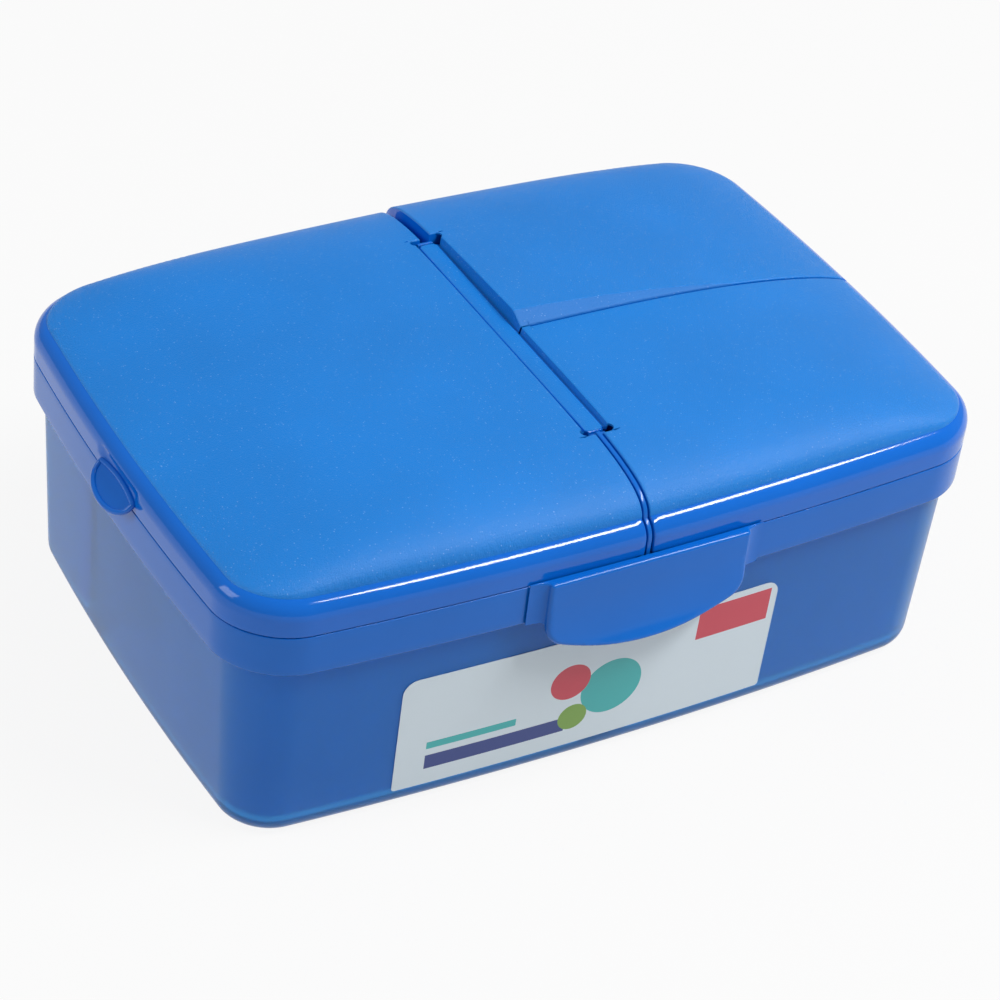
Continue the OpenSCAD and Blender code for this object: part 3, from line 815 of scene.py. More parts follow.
@dataclass(frozen=True)
class Lid:
    """A crowned lid: pillow, shoulder, wall, sealing skirt and finger tab.

    It is built with x pointing out from the spine and y to the back, and mirrored into place.
    """

    form: BoxForm
    name: str
    body: Body
    side: int  # 1 on the right of the spine, -1 on the left
    flip: int  # 1 at the back, -1 at the front
    whole: bool  # whether it spans both the back and the front
    rib_clear: float  # from the middle of the rib to the lid
    proud: float  # how far it stands above its neighbour at the seam
    tab_y: float
    window: tuple[Floats, Floats]
    wall: float = 1.6
    seam: float = 0.35
    hinge_x: float = 4.7
    groove: float = 1.2
    relief_r: float = 1.6
    slot_y: float = 43.5
    slot_gap: float = 1.25
    edge_r: float = 0.45
    proud_run: float = 66.0  # how far from the spine a proud lid's swell and bevel reach
    proud_fall: float = 0.55
    seal_t: float = 1.2
    seal_h: float = 1.5
    seal_r: float = 7.5
    tab_l: float = 20.0
    tab_out: float = 5.2
    tab_fall: float = 5.2
    tab_t: float = 1.5
    tab_root: float = 1.3
    tab_rise: float = 0.1
    tab_sunk: float = 0.82
    tab_up: float = 3.13
    recess_l: float = 0.54
    recess_up: float = 4.4
    recess_half: float = 1.5
    recess_deep: float = 1.1
    foot_r: float = 0.2
    foot_lift: float = 0.5  # clears the frame where the lid's corner dips
    bevel_w: float = 4.0
    bevel_end: float = 0.3
    bevel_sunk: float = 0.15
    bevel_soft: float = 0.12
    rim_scales: tuple[float, ...] = (0.9985, 0.995, 0.989, 0.98, 0.968, 0.952, 0.93, 0.905)

    def swell(self, points: Array) -> Array:
        """Extra height of a lid that stands proud, greatest at the middle of the box."""
        out = np.maximum(0, 1 - np.maximum(points[:, 0], 0) / self.proud_run)
        back = 1 - self.proud_fall * np.minimum(1, np.abs(points[:, 1]) / self.form.strip_end)
        return self.proud * out * back

    def height(self, points: Array) -> Array:
        """Height of the outer face over plan points inside the crease."""
        top = self.form.pillow(points)
        if not self.proud:
            return top
        top = top + self.swell(points) * np.sqrt(self.form.lip(points))
        facet = self.bevel(points)
        soft = self.bevel_soft
        share = np.clip(0.5 + 0.5 * (facet - top) / soft, 0, 1)
        return facet * (1 - share) + top * share - soft * share * (1 - share)

    def bevel(self, points: Array) -> Array:
        """Height of the slope from the seam up to a proud lid's face, narrow away from the spine."""
        out = np.clip(points[:, 0] / self.proud_run, 0, 1)
        wide = self.bevel_w * (1 - out**1.7) + self.bevel_end
        climb = (self.swell(points) + self.bevel_sunk) / wide
        slope = self.form.pillow(points) - self.bevel_sunk + (points[:, 1] - self.seam) * climb
        out_of_reach = self.form.crease_z + 99
        return np.where(points[:, 0] < self.proud_run, slope, out_of_reach)

    def sloped(self, points: Array) -> Array:
        """Which plan points of a proud lid's face lie on its bevel."""
        return self.bevel(points) < self.form.pillow(points) + self.swell(points) - 0.05

    def near_line(self, inset: float, y_end: float, x_end: float) -> Array:
        """Edge of the lid along the rib, the slot, the relief hole and the hinge.

        Args:
            inset: how far the edge is drawn in.
            y_end: y at which the edge meets the crease at the back.
            x_end: x at which the seam meets the crease, for a small lid.

        Returns:
            The edge from the back crease to its other end.
        """
        edge, notch = self.rib_clear + inset, self.hinge_x + self.groove + inset
        slot = self.slot_y + self.slot_gap + inset
        r = self.relief_r + inset
        a0 = math.acos(max(-1.0, -math.sqrt(max(0.0, 1 - ((slot - self.slot_y) / r) ** 2))))
        turn = np.linspace(a0, -math.acos((notch - self.hinge_x) / r), 16)
        hole = arc((self.hinge_x, self.slot_y), r, turn)
        steps = np.array(self.rim_scales)
        crest = columns(edge, y_end * steps)
        line = np.concatenate([[[edge, y_end]], crest, [[edge, slot]], hole])
        if self.whole:
            return np.concatenate([line, line[::-1] * [1, -1]])
        cut = self.seam + inset
        tail = columns(x_end * steps[::-1], cut)
        return np.concatenate([line, [[notch, cut]], tail, [[x_end, cut]]])

    def out_path(self, inset: float, cut_inset: float, ease: Floats = ()) -> Array:
        """The lid's share of the outline, from the end of near_line back to its start."""
        start = self.rib_clear + cut_inset
        if self.whole:
            half = self.form.quarter(inset, start, 0.0, ease)
            half = half[(half[:, 1] == 0) | (half[:, 1] > 0.9)]
            return np.concatenate([half[::-1] * [1, -1], half[1:]])
        return self.form.quarter(inset, start, self.seam + cut_inset, ease)

    def recess(self, points: Array, z: float) -> Array:
        """Depth of the hollow over the finger tab's root."""
        half = self.tab_l * self.recess_l
        along = np.clip(1 - (np.abs(points[:, 1] - self.tab_y) / half) ** 4, 0, 1)
        up = max(0.0, 1 - ((z - self.form.lid_z - self.recess_up) / self.recess_half) ** 2)
        near = points[:, 0] > self.form.half_l * 0.9
        return self.recess_deep * math.sqrt(up) * np.sqrt(along) * near

    def foot(self, points: Array) -> Array:
        """Height of the lid's lower edge, raised where its corner dips as the lid opens."""
        beyond = np.clip((np.abs(points[:, 1]) - self.form.strip_end) / 0.3, 0, 1)
        close = np.clip((self.hinge_x + 0.3 - points[:, 0]) / 0.5, 0, 1)
        return self.form.lid_z + self.foot_lift * beyond * close

    def levels(self, inset: float) -> list[tuple[float, float, float]]:
        """Inset, height and tilt of each ring from the crease down to the lower edge."""
        form = self.form
        rows = []
        for a in np.linspace(form.shoulder_turn, 0, 7 if inset else 15):
            in_by = form.shoulder_r * (1 - math.cos(a)) + inset * math.cos(a)
            rows.append((in_by, form.wall_z + (form.shoulder_r - inset) * math.sin(a), a))
        if inset:
            return rows + [(inset, form.lid_z, 0.0)]
        wall = np.linspace(form.wall_z, form.lid_z + self.foot_r, 9)[1:]
        rows += [(0.0, z, 0.0) for z in wall]
        return rows + [(c, form.lid_z + s, 0.0) for c, s in fillet(self.foot_r, 5)[1:]]

    def shoulder(self, draft: Draft, inset: float) -> list[Array]:
        """Add the shoulder and the wall, and return their rings from the crease down."""
        ease = () if inset else self.edge_r * np.array(EDGE_STEPS)
        rings = []
        for d, z, tilt in self.levels(inset):
            path = self.out_path(d, inset, ease)
            ring = lift(path, z)
            if not inset:
                away = path[:, 0] - self.rib_clear
                if not self.whole:
                    away = np.minimum(away, path[:, 1] - self.seam)
                sink = rounded(away, self.edge_r)
                inward = sink * math.cos(tilt) + self.recess(path, z)
                ring[:, :2] -= normals(path) * inward[:, None]
                ring[:, 2] -= sink * math.sin(tilt)
            ring[:, 2] = np.maximum(ring[:, 2], self.foot(ring))
            rings.append(ring)
        draft.strips(rings, closed=False, slot=1)
        return rings

    def cloud(self, inset: float, near: Array, rim: Array) -> Array:
        """Plan points inside the crease, dense where the pillow bends."""
        form = self.form
        step = 5.0 if inset else 2.6
        ys = np.arange(-form.half_w, form.half_w, step * 0.87)
        grid = lattice(np.arange(0, form.half_l, step), ys, step / 2)
        rows = [grid[form.share(grid) < 0.895]]
        rows += [rim * s for s in (self.rim_scales[2::3] if inset else self.rim_scales)]
        if not inset:
            fine = resample(near, 0.8)
            for share in (*EDGE_STEPS, 2.2):
                rows += [offset(fine, self.edge_r * share), offset(fine, -self.edge_r * share)]
        if self.proud and not inset:
            xs = np.arange(self.hinge_x + 1.5, self.proud_run, 1.0)
            rows.append(lattice(xs, self.seam + np.arange(0.2, 4.8, 0.2)))
        return np.concatenate(rows)

    def pillow(self, draft: Draft, inset: float, crease: Array) -> Array:
        """Add the pillow inside the crease, and return its edge along the spine and the seam."""
        rim = crease[:, :2]
        near = self.near_line(inset, crease[-1, 1], crease[0, 0])
        near = resample(near, 3.0 if inset else 1.2)
        loop = np.concatenate([near, rim[1:-1]])
        points = self.cloud(inset, near, rim)
        points = points[inside(points, loop)]
        points = points[distance(points, near) > (0.8 if inset else 0.03)]
        points = points[distance(points, rim) > 0.05]
        every, faces = triangulate([loop], points)
        z = self.height(every) - inset
        slots = [1 if inset else 0] * len(faces)
        if not inset:
            notch = self.hinge_x + self.groove
            hinge = (np.abs(every[:, 1]) < self.slot_y + 1.9) & (every[:, 0] < notch + 2)
            hinge &= every[:, 0] > self.hinge_x - 0.3
            hinge &= self.whole | (every[:, 1] > self.seam + 1)
            away = np.where(hinge, self.edge_r, distance(every, near))
            z = z - rounded(away, self.edge_r)
        # Faces on a proud lid's bevel take the bevel finish, whose colour is painted light and shade
        # of the slope.
        if self.proud and not inset:
            middles = every[np.array(faces)].mean(axis=1)
            slots = [2 if steep else 0 for steep in self.sloped(middles)]
        solid = lift(every, z)
        n = len(near)
        solid[n : n + len(crease) - 2] = crease[1:-1]
        solid[0], solid[n - 1] = crease[-1], crease[0]
        draft.add(solid, faces)
        draft.slots[-len(faces) :] = slots
        return solid[:n]

    def skin(self, draft: Draft, inset: float) -> Array:
        """Add the outer face, or the inner one, and return its lower loop.

        Args:
            draft: the draft to add to.
            inset: 0 for the outer face, and the wall thickness for the inner one.

        Returns:
            The closed loop of points at the lid's lower edge.
        """
        rings = self.shoulder(draft, inset)
        top = self.pillow(draft, inset, rings[0])
        low = lift(top[:, :2], self.foot(top))
        draft.strips([top, low], closed=False, slot=1)
        draft.ends([*rings, low[::-1]], slot=1)
        return np.concatenate([low, rings[-1]])

    def skirt(self, draft: Draft) -> None:
        """Add the sealing skirt that plugs the lid's window."""
        radii = [self.seal_r] * 4
        z0 = self.form.frame_top - self.seal_h
        inner, outer = (self.form.cell(*self.window, radii, d) for d in (self.seal_t, 0))
        tops = [
            lift(p, self.form.pillow(p) + (self.swell(p) if self.proud else 0) - self.wall * 0.7)
            for p in (inner, outer)
        ]
        rings = [lift(inner, z0), *tops, lift(outer, z0)]
        draft.strips(rings, closed=True, slot=1, joined=True)

    def tab_loop(self) -> Array:
        """Outline of the finger tab in its own plane: half an ellipse on a slightly curved root."""
        half = (self.tab_l - self.tab_t) / 2
        reach, root = math.hypot(self.tab_out, self.tab_fall), self.tab_root
        turn = np.linspace(0, math.pi, 61)
        rim = columns(half * np.cos(turn), root + (reach - root) * np.sin(turn) ** 0.8)
        s = np.linspace(-1, 1, 41)[1:-1]
        return np.concatenate([rim, columns(half * s, root * (1 - 0.75 * (1 - s**2)))])

    def tab_out_of_plane(self, points: Array, rise: float) -> Array:
        """Put points of the tab's plane, raised above it by rise, into the box."""
        form = self.form
        x_root = form.half_l - form.short_bow * (self.tab_y / form.half_w) ** 2 - self.tab_sunk
        z_root = form.lid_z + self.tab_up
        slope = math.atan2(self.tab_fall, self.tab_out)
        cos_s, sin_s = math.cos(slope), math.sin(slope)
        x = x_root + points[:, 1] * cos_s + rise * sin_s
        z = z_root - points[:, 1] * sin_s + rise * cos_s
        return columns(x, self.tab_y + points[:, 0], z)

    def tab(self, draft: Draft) -> None:
        """Add the finger tab's plate, which the rolled rim goes round."""
        loop = self.tab_loop()
        half = self.tab_l / 2
        points = lattice(np.arange(-half, half, 0.4), np.arange(-0.9, 9.0, 0.4))
        every, faces = fill(loop, points, 0.15)
        rises = (self.tab_rise, self.tab_rise - self.tab_t / 2)
        sheets = [self.tab_out_of_plane(every, rise) for rise in rises]
        draft.slab(sheets, faces, len(loop), slot=1)

    def tab_rim(self) -> Thing:
        """Build the tab's rolled rim, a bead swept round its outline."""
        path = self.tab_out_of_plane(self.tab_loop(), 0.0) * [self.side, self.flip, 1]
        piece = RolledRim(self.tab_t / 2).build(self.name + "_tab_rim", path, Coat.LID_GLOSS)
        return place(piece, self.body, "lid_plastic")

    def build(self) -> Thing:
        """Build the lid and put it on its body."""
        draft = Draft()
        draft.cap([self.skin(draft, 0.0), self.skin(draft, self.wall)], slot=1)
        self.skirt(draft)
        self.tab(draft)
        for part in draft.points:
            part *= [self.side, self.flip, 1]
        self.tab_rim()
        piece = draft.make(self.name + "_shell", [Coat.LID_GRAIN, Coat.LID_GLOSS, Coat.LID_BEVEL])
        return place(piece, self.body, "lid_plastic", self.name)



# ---------------------------------------------------------------- frame


@dataclass(frozen=True)
class RimFrame:
    """Band, plate with windows, plug skirt, centre rib and the shelf under the spine strip."""

    form: BoxForm
    windows: Sequence[tuple[Floats, Floats]]
    band_h: float = 11.0
    band_wall: float = 1.7
    band_edge: float = 0.25
    band_foot: float = 0.45
    window_r: float = 8.0
    plug_in: float = 4.9
    plug_t: float = 1.4
    plug_h: float = 5.5
    notch: float = 8.1  # room that the skirt leaves round each divider
    rib_t: float = 1.2
    rib_edge_r: float = 0.3
    rib_sunk: float = 0.25
    root: float = 0.5
    rear_drop: float = 2.4
    head_w: float = 4.4
    head_t: float = 0.9
    head_r: float = 0.25
    head_mid: float = 43.95
    shelf_half: float = 3.2
    shelf_t: float = 1.4

    def band(self, draft: Draft) -> None:
        """Add the band and the plate with its windows."""
        form = self.form
        top, low = form.frame_top, form.frame_top - self.band_h
        edge, foot = self.band_edge, self.band_foot
        inner = self.plug_in + self.plug_t
        section = [(inner, top), (3.0, top)]
        section += [(s, top - c) for c, s in fillet(edge, 7)]
        section += [(0.0, z) for z in np.linspace(top - edge, low + foot, 6)[1:]]
        section += [(c, low + s) for c, s in fillet(foot, 6)[1:]]
        section += [(self.band_wall, low), (self.band_wall, form.plate_z), (inner, form.plate_z)]
        draft.strips([lift(form.ring(d), z) for d, z in section], closed=True)
        holes = [form.cell(a, b, [self.window_r] * 4, 0) for a, b in self.windows]
        for z in (top, form.plate_z):
            draft.cap([lift(loop, z) for loop in (form.ring(inner), *holes)])
        for hole in holes:
            draft.strips([lift(hole, top), lift(hole, form.plate_z)], closed=True)

    def plug(self, draft: Draft) -> None:
        """Add the skirt that plugs into the tub, in the four stretches between the dividers."""
        form = self.form
        ring = form.ring(self.plug_in)
        inner = form.ring(self.plug_in + self.plug_t)
        right, left = ring[:, 0] > self.notch, ring[:, 0] < -self.notch
        split = form.narrow_y
        stretches = [
            right & (ring[:, 1] > self.notch),
            left & (ring[:, 1] > split + self.notch),
            left & (ring[:, 1] < split - self.notch),
            right & (ring[:, 1] < -self.notch),
        ]
        z0, z1 = form.plate_z - self.plug_h, form.plate_z + 0.4
        for chosen in stretches:
            where = np.flatnonzero(chosen)
            breaks = np.flatnonzero(np.diff(where) > 1)
            if len(breaks):
                where = np.roll(where, -(breaks[0] + 1))
            a, b = ring[where], inner[where]
            rings = [lift(a, z0), lift(a, z1), lift(b, z1), lift(b, z0)]
            draft.strips(rings, closed=False, joined=True)
            draft.ends(rings)

    def rib_edge(self, drop: float) -> Array:
        """Top edge of the rib beyond the strip as (y, z), lowered by drop."""
        form = self.form
        ys = np.linspace(self.head_mid, form.half_w - form.crease_in, 40)
        top = form.pillow(columns(0, ys))
        turns = np.linspace(form.shoulder_turn, 0, 14)
        out = form.half_w - form.shoulder_r * (1 - np.cos(turns)) - drop * np.cos(turns)
        up = form.wall_z + (form.shoulder_r - drop) * np.sin(turns)
        foot = [[form.half_w - drop, form.lid_z - 0.6]]
        return np.concatenate([columns(ys, top - drop), columns(out, up), foot])

    def rib(self, draft: Draft) -> None:
        """Add the upright rib: the front half flush with the lids, the rear half lower."""
        half = self.rib_t / 2
        base = self.form.frame_top - self.root
        side = [(c - half, s) for c, s in fillet(self.rib_edge_r, 5)]
        top = side + [(-x, sink) for x, sink in side[::-1]]
        rows = [(-half, 0.0, True), *((x, sink, False) for x, sink in top), (half, 0.0, True)]
        for way, drop in ((-1, self.rib_sunk), (1, self.rib_sunk + self.rear_drop)):
            edge = self.rib_edge(drop)
            normal = normals(edge)
            normal *= np.sign(normal @ [0.3, 1.0])[:, None]
            rings = []
            for x, sink, bottom in rows:
                at = edge - normal * sink
                z = np.full(len(edge), base) if bottom else at[:, 1]
                y = np.minimum(at[:, 0], edge[:, 0]) if bottom else at[:, 0]
                rings.append(columns(x, way * y, z))
            draft.strips(rings, closed=False)
            draft.ends(rings)
            draft.fold(np.concatenate([rings[0], rings[-1][::-1]]))

    def core(self, draft: Draft) -> None:
        """Add the wall under the strip, its shelf and the T-shaped heads at its ends."""
        form = self.form
        shelf, end = form.strip_z - form.strip_t, form.strip_end
        base = form.frame_top - self.root
        box(draft, (-self.rib_t / 2, -self.head_mid, base), (self.rib_t / 2, self.head_mid, shelf))
        box(draft, (-self.shelf_half, -end, shelf - self.shelf_t), (self.shelf_half, end, shelf))
        for way in (-1, 1):
            low = (-self.head_w / 2, way * self.head_mid - self.head_t / 2, shelf - self.shelf_t)
            top = form.strip_z - self.rib_sunk
            box(draft, low, (self.head_w / 2, way * self.head_mid + self.head_t / 2, top), self.head_r)

    def build(self) -> Thing:
        """Build the frame and put it on its body."""
        draft = Draft()
        self.band(draft)
        self.plug(draft)
        self.rib(draft)
        self.core(draft)
        piece = draft.make("rim_frame_shell", [Coat.FRAME])
        return place(piece, Body.FRAME, "frame_plastic", "rim_frame")


def box(draft: Draft, low: Floats, high: Floats, round_r: float = 0.0) -> None:
    """Add a box, with its top edges rounded where round_r is given."""
    (x0, y0, z0), (x1, y1, z1) = low, high
    levels = [(0.0, z0)] + [(c, z1 - s) for c, s in fillet(round_r, 5 if round_r else 1)]
    rings = [
        np.array([[x0 + d, y0 + d, z], [x1 - d, y0 + d, z], [x1 - d, y1 - d, z], [x0 + d, y1 - d, z]])
        for d, z in levels
    ]
    draft.strips(rings, closed=True)
    draft.polygon(rings[0][::-1])
    draft.polygon(rings[-1])


# ---------------------------------------------------------------- spine strip and hinges


@dataclass(frozen=True)
class Spine:
    """The fixed strip of the lid moulding and the living hinges at its sides.

    The strip is drawn narrower than its CAD node, and the hinges' skins reach in to it.
    """

    form: BoxForm
    hinge_x: float = 3.2
    groove: float = 0.6
    relief_r: float = 1.25
    relief_y: float = 43.5
    strip_edge: float = 0.3
    strip_lap: float = 0.05
    joint_drop: float = 2.2
    web_t: float = 0.45
    valley: float = 0.7
    valley_foot: float = 0.15

    def strip(self) -> Thing:
        """Build the strip, with the relief holes biting its corners."""
        form = self.form
        x, y, r = self.hinge_x - self.groove, form.strip_end, self.relief_r
        bite_y = y - math.sqrt(r * r - self.groove**2)
        turn = np.linspace(math.atan2(bite_y - y, -self.groove), -math.pi, 9)
        corner = arc((self.hinge_x, y), r, turn)
        side = resample(np.array([[x, 0.0], [x, bite_y]]), 3)[:-1]
        loop = four_ways(np.concatenate([side, corner, [[0.0, y]]]))
        levels = [(0.0, form.strip_z - form.strip_t)]
        levels += [(c, form.strip_z - s) for c, s in fillet(self.strip_edge, 5)]
        rings = [lift(loop - normals(loop, closed=True) * d, z) for d, z in levels]
        draft = Draft()
        draft.strips(rings, closed=True, slot=1)
        draft.cap([rings[0]], slot=1)
        draft.cap([rings[-1]])
        piece = draft.make("spine_strip_shell", [Coat.LID_GRAIN, Coat.LID_GLOSS])
        return place(piece, Body.FRAME, "lid_plastic", "spine_strip")

    def bounds_at(self, lid: "Lid", y: float) -> tuple[float, float]:
        """Inner and outer x of a hinge's skin at distance y from the middle."""
        r2 = lid.relief_r**2 - (y - lid.slot_y) ** 2
        start = lid.slot_y - math.sqrt(lid.relief_r**2 - lid.groove**2)
        outer = lid.hinge_x + (lid.groove if y < start else math.sqrt(max(0.0, r2)))
        hole = self.relief_r**2 - (y - self.relief_y) ** 2
        inner = self.hinge_x - self.groove - self.strip_lap
        if hole > 0:
            inner = max(inner, self.hinge_x + math.sqrt(hole))
        elif y > self.relief_y:
            inner = self.hinge_x
        return inner, outer

    def web(self, lid: "Lid", y0: float, y1: float, lip: float) -> Thing:
        """Build one living hinge: a valley at the strip, and the lid's face drawn in to it.

        Args:
            lid: the lid that it carries.
            y0: where the hinge begins.
            y1: where it ends.
            lip: how far the valley's side leans away from the strip.

        Returns:
            The piece.
        """
        form = self.form
        base, deep = form.strip_z, form.strip_z - self.valley
        low, first = self.hinge_x - self.groove - self.strip_lap, self.hinge_x + self.valley_foot
        crest = first + lip
        steps = [low, low + 0.25, self.hinge_x - 0.1, first, first + lip / 2, crest, crest + 0.25]
        rows = [np.linspace(y0, y1, 50), [42.0, 42.3], np.linspace(42.4, y1, 14)]
        if not lid.whole:
            rows.append(y0 + np.arange(0, 5, 0.4))
        ys = np.unique(np.concatenate(rows))
        if lid.whole:
            ys = np.concatenate([-ys[::-1], ys[ys > 0]])
        rings = []
        for y in ys:
            inner, outer = self.bounds_at(lid, abs(y))
            xs = np.clip([*steps, *np.linspace(steps[-1], outer, 6)[1:]], inner, outer)
            face = lid.height(columns(xs, y))
            z = face.copy()
            if abs(y) < self.relief_y:
                levels = np.array([base - 0.2, deep + 0.1, deep, deep + 0.1])
                z[:4] = np.where(xs[:4] > crest, face[:4], levels)
                z[4] = (deep + face[4]) / 2 if xs[4] < crest else face[4]
                z[5] = face[5] - 0.12
            top = columns(xs, y, z)
            under = top[::-1] - [0, 0, self.web_t]
            rings.append(np.concatenate([top, under]) * [lid.side, lid.flip, 1])
        draft = Draft()
        draft.strips(rings, closed=True)
        draft.fold(rings[0])
        draft.fold(rings[-1])
        node = lid.name.replace("_lid", "") + "_hinge_web"
        piece = draft.make(node + "_skin", [Coat.LID_GRAIN, Coat.LID_BEVEL])
        # Sloped faces of a proud lid's hinge take the bevel finish, with its painted light and shade.
        for face in piece.data.polygons if lid.proud else ():
            x, y, _ = face.center / MM
            if x > crest and face.normal.z > 0.3 and lid.sloped(np.array([[x, y]]))[0]:
                face.material_index = 1
        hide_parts(node)
        z = (form.crease_z + form.crown - self.joint_drop) * MM
        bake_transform(piece)
        LOG.info("%s: %d faces, frame to %s", piece.name, len(piece.data.polygons), lid.body.value)
        return piece


# ---------------------------------------------------------------- tub


@dataclass(frozen=True)
class Tub:
    """The translucent tub with its four compartments."""

    form: BoxForm
    wall: float = 1.8
    floor: float = 2.0
    inset: float = 2.7
    draft: float = 1.9
    base_r: float = 5.0
    flange_h: float = 1.6
    flange_out: float = 0.5
    flange_edge: float = 0.1
    rim_edge: float = 0.3
    mouth_edge: float = 0.35
    divider: float = 2.2
    divider_draft: float = 0.6
    pocket_r: float = 7.0
    floor_r: float = 5.0

    def taper(self, z: float) -> float:
        """How far the draft draws the walls in at height z."""
        return self.draft * (1 - z / self.form.tub_h)

    def wall_in(self, z: float) -> float:
        """How far the outer face lies inside the band at height z."""
        return self.inset + self.taper(z)

    def outside(self, draft: Draft) -> Array:
        """Add the outer face and the rim flange, and return the rim's loop."""
        form = self.form
        levels = [(self.wall_in(c) + s, c) for c, s in fillet(self.base_r, 12)]
        flange = form.tub_h - self.flange_h
        levels += [(self.wall_in(z), z) for z in np.linspace(self.base_r, flange, 10)[1:]]
        out = self.inset - self.flange_out
        levels += [(out + self.flange_edge, flange), (out, flange + self.flange_edge)]
        levels += [(out, form.tub_h - self.rim_edge), (out + self.rim_edge, form.tub_h)]
        rings = [lift(form.ring(d), z) for d, z in levels]
        draft.strips(rings, closed=True)
        draft.polygon(rings[0])
        return rings[-1]

    def pockets(self) -> list[tuple[list[float], list[float], list[float]]]:
        """Corners and radii of the four compartments."""
        form = self.form
        near = self.inset + self.wall
        x, y, r = form.half_l - near, form.half_w - near, form.corner_r - near
        half, p = self.divider / 2, self.pocket_r
        return [
            ([half, half], [x, y], [r, p, p, p]),
            ([half, -y], [x, -half], [p, p, p, r]),
            ([-x, form.narrow_y + half], [-half, y], [p, r, p, p]),
            ([-x, -y], [-half, form.narrow_y - half], [p, p, r, p]),
        ]

    def pocket_ring(self, low: Floats, high: Floats, radii: Floats, d: float, z: float) -> Array:
        """Ring of a compartment's wall; sides that face a divider lean by the divider's draft."""
        form = self.form
        lean = self.divider_draft * (1 - z / form.tub_h)
        middle = (form.half_l / 2, form.half_w / 2)
        a = [v + lean if v > -half else v for v, half in zip(low, middle)]
        b = [v - lean if v < half else v for v, half in zip(high, middle)]
        return lift(form.cell(a, b, radii, d), z)

    def build(self) -> Thing:
        """Build the tub and put it on its body."""
        form = self.form
        draft = Draft()
        mouths = [self.outside(draft)]
        for low, high, radii in self.pockets():
            corner = [(s, self.floor + c) for c, s in fillet(self.floor_r, 9)]
            wall = [(0.0, z) for z in np.linspace(corner[-1][1], form.tub_h - 0.4, 8)[1:]]
            levels = [(self.taper(z) + d, z) for d, z in corner + wall]
            levels.append((-self.mouth_edge, form.tub_h))
            rings = [self.pocket_ring(low, high, radii, d, z) for d, z in levels]
            draft.strips(rings, closed=True)
            draft.polygon(rings[0])
            mouths.append(rings[-1])
        draft.cap(mouths)
        piece = draft.make("tub_shell", [Coat.TUB])
        return place(piece, Body.TUB, "tub_plastic", "tub")



# ---------------------------------------------------------------- clip


